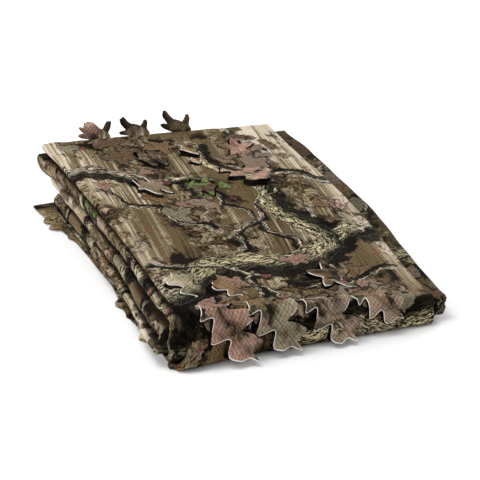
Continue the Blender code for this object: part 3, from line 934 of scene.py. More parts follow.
@dataclass
class CamoCloth:
    """The whole cloth: it is triangulated flat between its cuts, folded, creased and lifted."""

    pack: FoldedPack = field(default_factory=FoldedPack)
    # Highlights painted along the folds, and shade painted under and between the plies.
    painted_light: FoldHighlight = FoldHighlight()
    gap_shade: GapShade = GapShade()
    upper_rows: int = 122
    front_rows: int = 26
    lower_rows: int = 62
    edge_rows: int = 150
    cut_clear: float = 0.0012
    rim_ring: float = 0.0013
    rim_limit: float = 0.0040
    rim_dim: float = 0.0013
    lit_way: Pair = (0.6, 0.8)
    lit_ease: Pair = (0.25, 0.6)
    edge_curl: float = 0.4
    lift_curve: float = 1.15
    splay_start: float = 0.76
    splay_fall: float = 0.5
    stub_rise: float = math.radians(56.0)
    stub_curl: float = 18.0
    stub_wobble: float = 0.25
    stub_wave: float = 0.021
    hinge_fade: float = 0.45
    crease_ease: float = 0.012
    flap_print: float = 0.6
    flap_tone: float = 0.3
    flap_depth: float = 0.075
    flap_ease: float = 0.02
    flap_sides: Pair = (-0.002, 0.022)
    on_edge: float = 1e-9
    border_clear: float = 1e-5
    weld: float = 1e-7
    off_floor: float = 0.0001
    thickness: float = 0.0008
    measure_steps: int = 3000
    leaves: tuple[LeafCut, ...] = (
        LeafCut("front_a", -0.088, 0.343, 62.0, 0.066, 0.048, 3, 0.009, 0.019, tone=0.1),
        LeafCut("front_a_top", -0.083, 0.328, 248.0, 0.04, 0.036, 2, 0.005, 0.016, tone=0.5),
        LeafCut("front_b", -0.046, 0.342, 60.0, 0.06, 0.046, 3, 0.008, 0.018, tone=0.5),
        LeafCut("front_b_top", -0.046, 0.33, 222.0, 0.032, 0.032, 2, 0.005, 0.014, tone=0.3),
        LeafCut("front_c", 0.003, 0.345, 55.0, 0.056, 0.044, 3, 0.007, 0.017, tone=0.9),
        LeafCut("front_d", 0.045, 0.346, 40.0, 0.048, 0.034, 3, 0.006, 0.015, tone=0.9),
        LeafCut("front_d_top", 0.062, 0.318, 199.0, 0.044, 0.056, 5, 0.004, 0.012,
                LeafShape.STAR, tone=0.7),
        LeafCut("top_a", 0.035, 0.08, 68.0, 0.058, 0.038, 3, 0.007, 0.014,
                kerf=0.0015, tone=0.1, rim=0.5),
        LeafCut("top_b", 0.024, 0.046, 164.0, 0.022, 0.024, 1, 0.007, 0.015, tone=0.3, rim=0.8),
        LeafCut("top_c", 0.018, 0.068, 168.0, 0.013, 0.014, 1, 0.004, 0.009, tone=0.1, rim=0.6),
        LeafCut("star", 0.061, 0.067, 275.0, 0.042, 0.036, 5, 0.0012, 0.01,
                LeafShape.STAR, kerf=0.0018, tone=0.1, rim=0.4),
        LeafCut("loose_right", -0.014, 0.12, 8.0, 0.026, 0.044, 2, 0.0012, 0.026,
                kerf=0.0016, tone=0.3, rim=0.4, own_print=0.3),
        LeafCut("loose_left", -0.032, 0.11, 158.0, 0.034, 0.044, 2, 0.004, 0.024,
                kerf=0.0014, tone=0.5, rim=0.8, own_print=0.35),
        LeafCut("loose_back", -0.012, 0.052, 170.0, 0.028, 0.044, 2, 0.003, 0.026,
                kerf=0.0014, tone=0.5, rim=0.4, own_print=0.35),
    )
    stubs: tuple[Stub, ...] = (
        Stub("stub_left", -0.055, 0.018, (
            (128.0, 0.0208, 25.0), (167.0, 0.0225, 11.0), (149.0, 0.0238, 9.0),
            (54.0, 0.0205, 13.0)), tone=0.1, dim=(0.0, 0.9)),
        Stub("stub_middle", -0.016, 0.016, (
            (142.0, 0.016, 36.0), (168.0, 0.021, 11.0), (136.0, 0.0255, 16.0),
            (62.0, 0.0165, 14.0)), tone=0.7, dim=(0.78, 0.6)),
        Stub("stub_right", 0.026, 0.016, (
            (140.0, 0.0165, 36.0), (158.0, 0.0225, 11.0), (130.0, 0.0275, 15.0),
            (62.0, 0.0185, 15.0)), tone=0.7, dim=(0.72, 0.4)),
    )
    creases: tuple[Crease, ...] = (
        Crease((-0.055, 0.0), (-0.06, 0.34), 0.006, 0.0007),
        Crease((0.002, 0.0), (0.004, 0.34), 0.007, -0.0008),
        Crease((0.058, 0.02), (0.06, 0.33), 0.008, 0.0009),
        Crease((-0.11, 0.17), (0.112, 0.182), 0.01, 0.0008),
        Crease((-0.1, 0.255), (0.06, 0.262), 0.012, -0.0008),
        Crease((0.086, 0.05), (0.097, 0.34), 0.008, 0.002),
        Crease((0.103, 0.0), (0.105, 0.16), 0.006, 0.001),
        Crease((-0.103, -0.1), (-0.1, 0.4), 0.007, 0.0018),
        Crease((-0.075, 0.06), (-0.03, 0.13), 0.007, 0.0008),
        Crease((0.03, 0.2), (0.075, 0.25), 0.009, -0.0009),
        Crease((-0.11, 0.355), (0.1, 0.352), 0.006, 0.0006),
        Crease((-0.02, 0.3), (0.03, 0.33), 0.007, 0.001),
        Crease((-0.116, 0.35), (-0.09, 0.396), 0.005, 0.0022),
        Crease((-0.1, 0.352), (-0.072, 0.398), 0.005, -0.0022),
        Crease((-0.118, 0.378), (-0.06, 0.384), 0.004, 0.0014),
        Crease((0.06, 0.352), (0.085, 0.392), 0.006, 0.0012),
    )
    unevenness: tuple[tuple[float, float, float, float], ...] = (
        (0.00022, 0.041, 0.23, 0.4), (0.0002, 0.27, -0.057, 1.9),
        (0.00012, 0.019, -0.061, 2.6), (0.0001, 0.048, 0.017, 0.9),
    )

    def grid(self) -> Array:
        """Lay out the sheet's grid, finer on the top ply and along the lowest left fold.

        Returns:
            Flat places.
        """
        pack = self.pack
        columns = {"fine": [], "coarse": [], "edge": []}
        for run in pack.section:
            start, length = pack.spans[run.ply]
            places = [start + length * share for share in run.shares] + [start + length]
            strips = range(1, run.fold_strips)
            folds = [start + length + pack.fold_flat * strip / run.fold_strips for strip in strips]
            columns["fine" if run.ply == "top" else "coarse"].extend(places)
            columns["edge" if run.end == "top_left" else "coarse"].extend(folds)
        front_end = pack.depth + pack.front_flat
        upper = pack.depth * np.arange(self.upper_rows) / self.upper_rows
        front = pack.depth + pack.front_flat * np.arange(self.front_rows) / self.front_rows
        lower = front_end + pack.depth * np.arange(self.lower_rows + 1) / self.lower_rows
        edge = front_end + pack.depth * np.arange(self.edge_rows + 1) / self.edge_rows
        blocks = (
            (columns["fine"], np.concatenate([upper, front])),
            (columns["coarse"], np.concatenate([upper[::2], front, lower])),
            (columns["edge"], np.concatenate([upper, front, edge])),
            (columns["fine"][::4], lower),
            (columns["fine"][-6:], edge),
            ((0.0, pack.flat_width), (0.0, pack.flat_length)),
        )
        return np.unique(np.round(np.vstack([lattice(*block) for block in blocks]), 9), axis=0)

    def cuts(self) -> list[tuple[Array, Array, Array]]:
        """Find the flat outlines of the leaf cuts.

        Returns:
            For each leaf its tongue's outline, its opening's, and the ring inside its rim.
        """
        found = []
        for leaf in self.leaves:
            outline = leaf.outline()
            rings = [outline, grow_outline(outline, leaf.kerf), grow_outline(outline, -self.rim_ring)]
            found.append(tuple(self.pack.flat_on_top(leaf.to_cloth(ring)) for ring in rings))
        return found

    def stub_outlines(self) -> list[Array]:
        """Find the flat outlines of the stubs.

        Returns:
            Flat places for each stub.
        """
        found = []
        for stub in self.stubs:
            outline = stub.outline()
            on_edge = self.pack.flat_on_top(outline * (1.0, 0.0))
            found.append(np.stack([on_edge[:, 0], outline[:, 1]], axis=1))
        return found

    def border(self, grid: Array, stubs: list[Array]) -> Array:
        """Trace the flat cloth's border: a rectangle through the grid's edge points and the stubs.

        Args:
            grid: the grid's places.
            stubs: flat outlines of the stubs.

        Returns:
            Flat places, from the back edge's start all the way round.
        """
        back = grid[grid[:, 1] == 0.0]
        back = back[np.argsort(back[:, 0])]
        chain = []
        last = -1.0
        for stub in sorted(stubs, key=lambda outline: outline[:, 0].min()):
            run = stub if stub[0, 0] < stub[-1, 0] else stub[::-1]
            chain.append(back[(back[:, 0] > last) & (back[:, 0] < run[0, 0])])
            chain.append(run)
            last = run[-1, 0]
        chain.append(back[back[:, 0] > last])
        right = grid[grid[:, 0] == grid[:, 0].max()]
        right = right[np.argsort(right[:, 1])][1:]
        front = grid[grid[:, 1] == grid[:, 1].max()]
        front = front[np.argsort(-front[:, 0])][1:]
        left = grid[grid[:, 0] == 0.0]
        left = left[np.argsort(-left[:, 1])][1:-1]
        return np.vstack(chain + [right, front, left])

    def edge_distance(self, flat: Array, tongue: Array, opening: Array) -> Array:
        """Distance to a tongue's cut edge, only where it faces the light, to the left or to the front.

        The opening lies outside the tongue, so the way from one to the other faces outwards.

        Args:
            flat: flat places.
            tongue: the tongue's flat outline.
            opening: its opening's flat outline.

        Returns:
            The distance at each place, cut off at rim_limit.
        """
        away, number = distance_to(flat, tongue, self.rim_limit)
        outward = (opening - tongue)[number]
        outward_size = np.maximum(np.linalg.norm(outward, axis=1), self.on_edge)
        # Only edges that face the light get the pale raw edge, which is so partly a painted highlight.
        facing = outward @ np.array(self.lit_way) / outward_size
        hidden = 1.0 - smooth_step((facing + self.lit_ease[0]) / self.lit_ease[1])
        return np.minimum(away + hidden * self.rim_limit, self.rim_limit)

    def triangulate(self) -> tuple[Array, Array, Array, Array]:
        """Triangulate the flat cloth between its border and its cuts.

        Returns:
            The flat places, the triangles, the number of the tongue that each triangle is in or
            -1, and each place's distance to the nearest cut edge of a leaf.
        """
        grid = self.grid()
        cuts, stubs = self.cuts(), self.stub_outlines()
        border = self.border(grid, stubs)
        keep = np.ones(len(grid), bool)
        for tongue, opening, ring in cuts:
            for line in (tongue, opening, ring):
                keep &= distance_to(grid, line, self.cut_clear)[0] >= self.cut_clear
        for stub in stubs:
            keep &= distance_to(grid, stub[[0, -1]], self.cut_clear)[0] >= self.cut_clear
        closed = np.vstack([border, border[:1]])
        keep &= distance_to(grid, closed, self.border_clear)[0] >= self.border_clear
        points = [grid[keep]]
        lines: list[tuple[int, int]] = []
        count = len(points[0])

        def add_line(outline: Array, closed: bool) -> None:
            """Add an outline's points, and its edges as lines that the triangles keep.

            Args:
                outline: flat places.
                closed: join its end to its start.
            """
            nonlocal count
            points.append(outline)
            numbers = np.arange(count, count + len(outline))
            lines.extend(zip(numbers[:-1].tolist(), numbers[1:].tolist()))
            if closed:
                lines.append((int(numbers[-1]), int(numbers[0])))
            count += len(outline)

        add_line(border, True)
        for tongue, opening, ring in cuts:
            add_line(np.vstack([tongue, opening[::-1]]), True)
            add_line(ring[2:-2], False)
            add_line(tongue[[0, -1]], False)
        for stub in stubs:
            add_line(stub[[0, -1]], False)
        places = [Vector(place) for place in np.vstack(points).tolist()]
        result = delaunay_2d_cdt(places, lines, [], 0, self.weld)
        flat = np.array([tuple(place) for place in result[0]])
        triangles = np.array([face for face in result[2] if len(face) == 3])
        middle = flat[triangles].mean(axis=1)
        keep = inside(middle, border)
        owner = np.full(len(triangles), -1)
        rim = np.full(len(flat), self.rim_limit)
        for number, (leaf, (tongue, opening, _)) in enumerate(zip(self.leaves, cuts)):
            in_tongue = inside(middle, tongue)
            keep &= ~(inside(middle, opening) & ~in_tongue)
            owner[in_tongue] = number
            away = self.edge_distance(flat, tongue, opening) / leaf.rim
            rim = np.minimum(rim, away + (1.0 - leaf.rim) * self.rim_dim)
        triangles, owner = triangles[keep], owner[keep]
        loose = np.zeros(len(flat), bool)
        loose[triangles[owner >= 0]] = True
        rim[~loose] = self.rim_limit
        return flat, triangles, owner, rim

    def raise_stubs(self, flat: Array, places: Array) -> None:
        """Curl what runs past the back edge upwards, steeper with its distance from the edge.

        Args:
            flat: flat places.
            places: the same places folded, which are moved.
        """
        beyond = np.maximum(-flat[:, 1], 0.0)
        wobble = self.stub_wobble * np.sin(flat[:, 0] * 2 * np.pi / self.stub_wave)
        angle = self.stub_rise + wobble + self.stub_curl * beyond / 2
        places[:, 1] += beyond * np.cos(angle)
        places[:, 2] += beyond * np.sin(angle)

    def crease(self, flat: Array, places: Array, normals: Array) -> None:
        """Push the top ply along its normals by its creases and a fine unevenness of four sines.

        Args:
            flat: flat places.
            places: the same places folded, which are moved.
            normals: the folded cloth's normals there.
        """
        start, length = self.pack.spans["top"]
        on_top = (flat[:, 0] >= start) & (flat[:, 0] <= start + length) & (flat[:, 1] >= 0.0)
        on_top &= flat[:, 1] <= self.pack.depth + self.pack.front_flat
        spots = self.pack.top_of_flat(flat[on_top])
        offset = np.zeros(len(spots))
        for crease in self.creases:
            offset += crease.offset(spots)
        x, run = spots[:, 0], spots[:, 1]
        for size, across, along, phase in self.unevenness:
            offset += size * np.sin(2 * np.pi * (x / across + run / along) + phase)
        side = np.minimum(flat[on_top, 0] - start, start + length - flat[on_top, 0])
        places[on_top] += normals[on_top] * (offset * smooth_step(side / self.crease_ease))[:, None]

    def lift(self, flat: Array, places: Array, triangles: Array, owner: Array) -> None:
        """Lift each tongue off the cloth, from nothing at its hinge to most at its tip.

        The rise is a power of the share of its length, more at its edges. What is longer than the
        front face doesn't turn under: it slopes forward to the ground.

        Args:
            flat: flat places.
            places: the same places folded, which are moved.
            triangles: corners of each triangle.
            owner: number of the tongue that each triangle is in, or -1.
        """
        foot_along = self.pack.depth + self.splay_start * self.pack.front_flat
        for number, leaf in enumerate(self.leaves):
            members = np.unique(triangles[owner == number])
            held = flat[members].copy()
            held[:, 1] = np.minimum(held[:, 1], foot_along)
            splay = flat[members, 1] - held[:, 1]
            local = leaf.to_leaf(self.pack.top_of_flat(flat[members]))
            share = np.clip(local[:, 0] / leaf.length, 0.0, 1.0)
            rise = leaf.lift * share ** self.lift_curve
            rise *= 1.0 + self.edge_curl * (2.0 * local[:, 1] / leaf.width) ** 2
            normals = self.pack.normals(held)
            normals[:, 2] = np.maximum(normals[:, 2], 0.0)
            moved = splay > 0.0
            base = np.where(moved[:, None], self.pack.fold(held), places[members])
            places[members] = base + unit(normals) * rise[:, None]
            places[members, 1] -= splay
            places[members, 2] -= self.splay_fall * splay
        places[:, 2] = np.maximum(places[:, 2], self.thickness / 2 + self.off_floor)

    def print_places(self, flat: Array) -> Array:
        """Measure the flat places along the folded cloth, so that the print keeps its scale there.

        The length of a line across the middle of the cloth, and of one along the middle of its
        top ply, is summed over short steps.

        Args:
            flat: flat places.

        Returns:
            Rows of measured (across, along).
        """
        pack = self.pack
        start, length = pack.spans["top"]
        lines = (np.array([0.0, pack.depth / 2]), np.array([start + length / 2, 0.0]))
        places = np.minimum(flat, 0.0)
        for axis, (line, full) in enumerate(zip(lines, (pack.flat_width, pack.flat_length))):
            steps = np.linspace(0.0, full, self.measure_steps)
            spots = np.tile(line, (len(steps), 1))
            spots[:, axis] = steps
            lengths = np.linalg.norm(np.diff(pack.fold(spots), axis=0), axis=1)
            run = np.concatenate([[0.0], np.cumsum(lengths)])
            places[:, axis] += np.interp(np.maximum(flat[:, axis], 0.0), steps, run)
        return places

    def shade(self, flat: Array) -> Array:
        """Painted shade in the gaps between the rolls, and the stubs' own darker tone, 0 to 1.

        Args:
            flat: flat places.

        Returns:
            The darkness at each place.
        """
        dark = self.gap_shade.over(self.pack, flat)
        for stub in self.stubs:
            members, leftward = self.on_stub(flat, stub)
            # The back edge at the stub's base takes its tone too, painted as a contact shadow.
            members |= (np.abs(flat[:, 1]) < self.on_edge) & (np.abs(leftward) < stub.hinge / 2)
            across = smooth_step(leftward[members] / stub.hinge + 0.5)
            dark[members] = mix(stub.dim[1], stub.dim[0], across)
        return dark

    def on_stub(self, flat: Array, stub: Stub) -> tuple[Array, Array]:
        """Find the places on a stub.

        Args:
            flat: flat places.
            stub: the stub.

        Returns:
            Which places lie on it, and how far each place is to the left of its middle.
        """
        middle = self.pack.flat_on_top(np.array([[stub.x, 0.0]]))[0, 0]
        room = 0.5 * self.pack.spans["top"][1] / len(self.stubs)
        leftward = flat[:, 0] - middle
        return (flat[:, 1] < 0.0) & (np.abs(leftward) < room), leftward

    def leaf_marks(self, flat: Array, triangles: Array, owner: Array) -> tuple[Array, Array]:
        """Mark the tongues, the stubs and the lowest left fold's back end for their print.

        Args:
            flat: flat places.
            triangles: corners of each triangle.
            owner: number of the tongue that each triangle is in, or -1.

        Returns:
            Rows of each place's distance along its tongue, distance off its midrib, and how far it
            is clear of the hinge, 0 to 1; and the tongue's tone, 0 to 1.
        """
        marks = np.zeros((len(flat), 3))
        tones = np.zeros(len(flat))
        for number, leaf in enumerate(self.leaves):
            members = np.unique(triangles[owner == number])
            local = leaf.to_leaf(self.pack.top_of_flat(flat[members]))
            clear = leaf.own_print * smooth_step(local[:, 0] / (self.hinge_fade * leaf.length))
            marks[members] = np.stack([local[:, 0], local[:, 1], clear], axis=1)
            tones[members] = leaf.tone
        from_fold = self.pack.past_run("top", flat)
        to_back = self.pack.flat_length - flat[:, 1]
        low, high = self.flap_sides
        flap = (to_back < self.flap_depth) & (from_fold > low)
        flap &= from_fold < self.pack.fold_flat + high
        own = self.flap_print * smooth_step((self.flap_depth - to_back[flap]) / self.flap_ease)
        marks[flap] = np.stack([to_back[flap], from_fold[flap], own], axis=1)
        tones[flap] = self.flap_tone
        for stub in self.stubs:
            members, leftward = self.on_stub(flat, stub)
            clear = np.ones(np.count_nonzero(members))
            marks[members] = np.stack([-flat[members, 1], leftward[members], clear], axis=1)
            tones[members] = stub.tone
        return marks, tones

    def build(self) -> bpy.types.Object:
        """Build the cloth as one thin closed sheet with its measured flat places as its UV map.

        Returns:
            The cloth.
        """
        flat, triangles, owner, rim = self.triangulate()
        places = self.pack.fold(np.maximum(flat, 0.0))
        self.crease(flat, places, self.pack.normals(flat))
        self.raise_stubs(flat, places)
        self.lift(flat, places, triangles, owner)
        places[:, :2] -= self.pack.middle
        leaf_places, leaf_tones = self.leaf_marks(flat, triangles, owner)
        mesh = bpy.data.meshes.new("folded_cloth")
        mesh.from_pydata(places.tolist(), [], triangles.tolist())
        uv_map = mesh.uv_layers.new(name=UV_MAP)
        corners = np.empty(len(mesh.loops), dtype=np.int32)
        mesh.loops.foreach_get("vertex_index", corners)
        uv_map.data.foreach_set("uv", self.print_places(flat)[corners].astype(np.float32).ravel())
        # The mesh also carries the highlight painted along the folds and the shade painted between the
        # rolls.
        marks = {Mark.CUT_EDGE: rim, Mark.LEAF_TONE: leaf_tones}
        marks |= {Mark.CREST: self.painted_light.over(self.pack, flat), Mark.SHADE: self.shade(flat)}
        for mark, values in marks.items():
            layer = mesh.attributes.new(mark.value, "FLOAT", "POINT")
            layer.data.foreach_set("value", values.astype(np.float32))
        layer = mesh.attributes.new(Mark.LEAF_PLACE.value, "FLOAT_VECTOR", "POINT")
        layer.data.foreach_set("vector", leaf_places.astype(np.float32).ravel())
        cloth = add_object("folded_cloth", mesh)
        mesh.shade_smooth()
        shell = cloth.modifiers.new("thickness", "SOLIDIFY")
        shell.thickness = self.thickness
        shell.offset = 0.0
        shell.use_even_offset = False
        return cloth


@dataclass
class Studio:
    """Pale floor, soft lights and the camera. A lamp is a name, a place, a size and a power."""

    azimuth: float = -21.887
    elevation: float = 24.0
    distance: float = 2.4
    focal_pixels: float = 2699.9
    image_pixels: float = 480.0
    sensor: float = 36.0
    clip: Pair = (0.05, 50.0)
    aim: tuple[float, float, float] = (-0.0041, 0.0100, 0.030)
    aim_pixel: Pair = (227.38, 228.69)
    floor_size: float = 8.0
    floor_tone: float = 0.92
    floor_roughness: float = 0.9
    sky: float = 0.62
    lamps: tuple[tuple[str, tuple[float, float, float], float, float], ...] = (
        ("key", (-0.5, 0.2, 1.9), 0.9, 16.0),
        ("left", (-1.5, 0.1, 0.75), 0.6, 14.0),
        ("right", (1.3, 0.9, 0.70), 0.6, 14.0),
    )

    def camera(self) -> bpy.types.Object:
        """Stand the camera at the view's angle, turned so that aim falls on its pixel.

        Returns:
            The camera.
        """
        a, e = math.radians(self.azimuth), math.radians(self.elevation)
        back = Vector((math.sin(a) * math.cos(e), -math.cos(a) * math.cos(e), math.sin(e)))
        right = Vector((math.cos(a), math.sin(a), 0.0))
        up = back.cross(right)
        scale = self.distance / self.focal_pixels
        target = Vector(self.aim) + right * (self.image_pixels / 2 - self.aim_pixel[0]) * scale
        target -= up * (self.image_pixels / 2 - self.aim_pixel[1]) * scale
        data = bpy.data.cameras.new("camera")
        data.sensor_width = self.sensor
        data.lens = self.focal_pixels / self.image_pixels * self.sensor
        data.clip_start, data.clip_end = self.clip
        camera = add_object("camera", data)
        aim_at(camera, Vector(self.aim) + back * self.distance, target)
        bpy.context.scene.camera = camera
        return camera

    def floor(self) -> bpy.types.Object:
        """Lay a wide pale floor.

        Returns:
            The floor.
        """
        mesh = bpy.data.meshes.new("floor")
        size = self.floor_size
        corners = [(-size, -size, 0.0), (size, -size, 0.0), (size, size, 0.0), (-size, size, 0.0)]
        mesh.from_pydata(corners, [], [(0, 1, 2, 3)])
        bench = Bench("floor")
        bench.feed(bench.shader.inputs["Base Color"], (self.floor_tone,) * 3)
        bench.feed(bench.shader.inputs["Roughness"], self.floor_roughness)
        mesh.materials.append(bench.material)
        floor = add_object("floor", mesh)
        return floor

    def build(self) -> None:
        """Set up camera, floor, world light and lamps, shown with plain tones."""
        self.camera()
        self.floor()
        world = bpy.data.worlds.new("studio")
        world.use_nodes = True
        background = world.node_tree.nodes["Background"]
        background.inputs["Color"].default_value = (1.0, 1.0, 1.0, 1.0)
        background.inputs["Strength"].default_value = self.sky
        bpy.context.scene.world = world
        bpy.context.scene.view_settings.view_transform = "Standard"
        for name, place, size, power in self.lamps:
            data = bpy.data.lights.new(name, "AREA")
            data.size = size
            data.energy = power
            aim_at(add_object(name, data), Vector(place), Vector(self.aim))


Colour = tuple[float, float, float]


def seen(red: float, green: float, blue: float) -> Colour:
    """Turn a colour as a screen shows it into light: ((c + 0.055) / 1.055) to the power 2.4."""
    return tuple(((channel + 0.055) / 1.055) ** 2.4 for channel in (red, green, blue))


def arithmetic(operation: str, swapped: bool = False) -> Callable[..., "Signal"]:
    """Make an operator of Signal.

    Args:
        operation: the step of arithmetic that it lays out.
        swapped: take its two sides the other way round.

    Returns:
        The operator.
    """
    def apply(signal: "Signal", other: "Signal | float" = 0.0) -> "Signal":
        """Lay out the step on the signal's bench."""
        sides = (other, signal) if swapped else (signal, other)
        return signal.bench.math(operation, *sides)

    return apply


class Signal:
    """A number, place or colour that varies over the cloth: what one of a material's nodes gives."""

    def __init__(self, bench: "Bench", socket: bpy.types.NodeSocket) -> None:
        """Hold the bench that made it, and its socket."""
        self.bench = bench
        self.socket = socket

    __add__ = __radd__ = arithmetic("ADD")
    __sub__ = arithmetic("SUBTRACT")
    __rsub__ = arithmetic("SUBTRACT", swapped=True)
    __mul__ = __rmul__ = arithmetic("MULTIPLY")
    __truediv__ = arithmetic("DIVIDE")
    __abs__ = arithmetic("ABSOLUTE")


Amount = Signal | float


class Bench:
    """Lays out a material's nodes. Each method adds a node and returns what it gives."""

    def __init__(self, name: str) -> None:
        """Start a material.

        Args:
            name: what it is called.
        """
        self.material = bpy.data.materials.new(name)
        self.material.use_nodes = True
        self.tree = self.material.node_tree
        self.shader = self.tree.nodes["Principled BSDF"]

    def feed(self, socket: bpy.types.NodeSocket, value: "Signal | float | tuple") -> None:
        """Link a signal to a socket, or set the socket to a fixed value.

        Args:
            socket: a node's input.
            value: what it gets.
        """
        if isinstance(value, Signal):
            self.tree.links.new(value.socket, socket)
        elif socket.type == "RGBA":
            socket.default_value = (*value, 1.0)
        else:
            socket.default_value = value

    def node(self, kind: str, inputs: dict, **settings: str | bool) -> bpy.types.Node:
        """Add a node.

        Args:
            kind: the kind of node.
            inputs: what each input gets.
            **settings: what its settings are.

        Returns:
            The node.
        """
        made = self.tree.nodes.new(kind)
        for name, value in settings.items():
            setattr(made, name, value)
        for name, value in inputs.items():
            self.feed(made.inputs[name], value)
        return made

    def give(self, kind: str, inputs: dict, output: int | str = 0, **settings: str | bool) -> Signal:
        """Add a node as node does, and return one of its outputs."""
        return Signal(self, self.node(kind, inputs, **settings).outputs[output])

    def mark(self, mark: Mark, output: str = "Fac") -> Signal:
        """Read a value that the mesh carries."""
        return self.give("ShaderNodeAttribute", {}, output, attribute_name=mark.value)

    def math(self, operation: str, first: Amount, second: Amount = 0.0) -> Signal:
        """One step of arithmetic."""
        return self.give("ShaderNodeMath", {0: first, 1: second}, operation=operation)

    def larger(self, first: Amount, second: Amount) -> Signal:
        """The larger of two numbers."""
        return self.math("MAXIMUM", first, second)

    def length(self, x: Signal, y: Signal, flatten: float = 1.0) -> Signal:
        """Distance of (x, y) from nothing: sqrt(x^2 + y^2), where flatten weighs y^2."""
        return self.math("SQRT", x * x + (y * y if flatten == 1.0 else y * y * flatten))

    def place(self, x: Amount, y: Amount, z: Amount = 0.0) -> Signal:
        """Join numbers into a place."""
        return self.give("ShaderNodeCombineXYZ", {0: x, 1: y, 2: z})

    def parts(self, place: Signal) -> tuple[Signal, Signal, Signal]:
        """Split a place or a colour into its three numbers."""
        made = self.node("ShaderNodeSeparateXYZ", {0: place})
        return tuple(Signal(self, socket) for socket in made.outputs)

    def rise(self, value: Signal, low: float, high: float, top: float = 1.0) -> Signal:
        """Rise smoothly from 0 to top as value goes from low to high.

        Args:
            value: what it depends on.
            low: value where it is 0.
            high: value where it is at the top, which may lie below low.
            top: the most that it reaches.

        Returns:
            The risen value.
        """
        inputs = {"Value": value, "From Min": low, "From Max": high, "To Min": 0.0, "To Max": top}
        return self.give("ShaderNodeMapRange", inputs, interpolation_type="SMOOTHSTEP")

    def blend(self, share: Amount, first: Signal | Colour, second: Signal | Colour,
              how: str = "MIX") -> Signal:
        """Mix two colours."""
        inputs = {0: share, 6: first, 7: second}
        return self.give("ShaderNodeMix", inputs, 2, data_type="RGBA", blend_type=how)

    def choose(self, share: Amount, first: Signal, second: Signal) -> Signal:
        """Mix two places."""
        return self.give("ShaderNodeMix", {0: share, 4: first, 5: second}, 1, data_type="VECTOR")

    def shade(self, colour: Signal | Colour, brightness: Signal) -> Signal:
        """Multiply a colour by a brightness."""
        return self.blend(1.0, colour, self.place(brightness, brightness, brightness), "MULTIPLY")

    def noise(self, x: Amount, y: Amount, seed: float, detail: float = 2.0,
              rough: float = 0.5) -> Signal:
        """Cloudy noise about 0.5, with one lump for each whole step of x or y."""
        inputs = {"Vector": self.place(x, y, seed), "Scale": 1.0, "Detail": detail, "Roughness": rough}
        return self.give("ShaderNodeTexNoise", inputs, noise_dimensions="3D")

    def cells(self, place: Signal, feature: str, randomness: float = 1.0) -> bpy.types.Node:
        """Split the plane into cells about one step in size."""
        inputs = {"Vector": place, "Scale": 1.0, "Randomness": randomness}
        return self.node("ShaderNodeTexVoronoi", inputs, feature=feature, voronoi_dimensions="2D")

    def cracks(self, x: Amount, y: Amount) -> Signal:
        """Distance to the borders of plates that are about one step of x by one of y in size."""
        return Signal(self, self.cells(self.place(x, y), "DISTANCE_TO_EDGE").outputs["Distance"])

    def ramp(self, value: Signal, colours: tuple[Colour, ...], steps: bool) -> Signal:
        """Go through some colours as value goes from 0 to 1.

        Args:
            value: what it depends on.
            colours: the colours in their order.
            steps: go in even steps, else smoothly.

        Returns:
            The colour.
        """
        made = self.node("ShaderNodeValToRGB", {0: value})
        made.color_ramp.interpolation = "CONSTANT" if steps else "LINEAR"
        stops = made.color_ramp.elements
        while len(stops) < len(colours):
            stops.new(1.0)
        for number, colour in enumerate(colours):
            stops[number].position = number / (len(colours) if steps else len(colours) - 1)
            stops[number].color = (*colour, 1.0)
        return Signal(self, made.outputs[0])


@dataclass(frozen=True)
class Cloud:
    """A layer of cloudy noise: its lumps to a metre, and how fine and rough it gets."""

    across: float
    along: float
    seed: float
    detail: float = 2.0
    rough: float = 0.5


@dataclass(frozen=True)
class Spot:
    """A place on the print, (right, front) in metres, and the bench for its nodes."""

    bench: Bench
    x: Signal
    y: Signal

    def noise(self, cloud: Cloud) -> Signal:
        """Read a layer of noise there."""
        x, y = self.x * cloud.across, self.y * cloud.along
        return self.bench.noise(x, y, cloud.seed, cloud.detail, cloud.rough)

    def jitter(self, lumps: float, size: float, seed: float) -> "Spot":
        """Push the place about.

        Args:
            lumps: how many lumps to a metre.
            size: twice how far it goes either way.
            seed: moves the pattern.

        Returns:
            The new place.
        """
        bench = self.bench
        at = bench.place(self.x * lumps, self.y * lumps, seed)
        inputs = {"Vector": at, "Scale": 1.0, "Detail": 3.0}
        colour = bench.give("ShaderNodeTexNoise", inputs, "Color", noise_dimensions="3D")
        push_x, push_y, _ = bench.parts(colour)
        return Spot(bench, self.x + (push_x - 0.5) * size, self.y + (push_y - 0.5) * size)

    def scatter(self, pitch: float, seed: float) -> tuple[Signal, Signal, Signal, Signal]:
        """Scatter seats about a pitch apart.

        Args:
            pitch: about how far apart the seats are.
            seed: moves the pattern.

        Returns:
            Place from the nearest seat as x and y, turned by a chance angle, and two chances of
            that seat, 0 to 1.
        """
        bench = self.bench
        here = bench.place(self.x / pitch + seed, self.y / pitch + 1.7 * seed)
        made = bench.cells(here, "F1", 0.8)
        turn, first, second = bench.parts(Signal(bench, made.outputs["Color"]))
        between = {0: here, 1: Signal(bench, made.outputs["Position"])}
        away = bench.give("ShaderNodeVectorMath", between, operation="SUBTRACT")
        turning = {"Vector": away, "Angle": turn * FULL_TURN}
        turned = bench.give("ShaderNodeVectorRotate", turning, rotation_type="Z_AXIS")
        right, front, _ = bench.parts(turned)
        return right * pitch, front * pitch, first, second


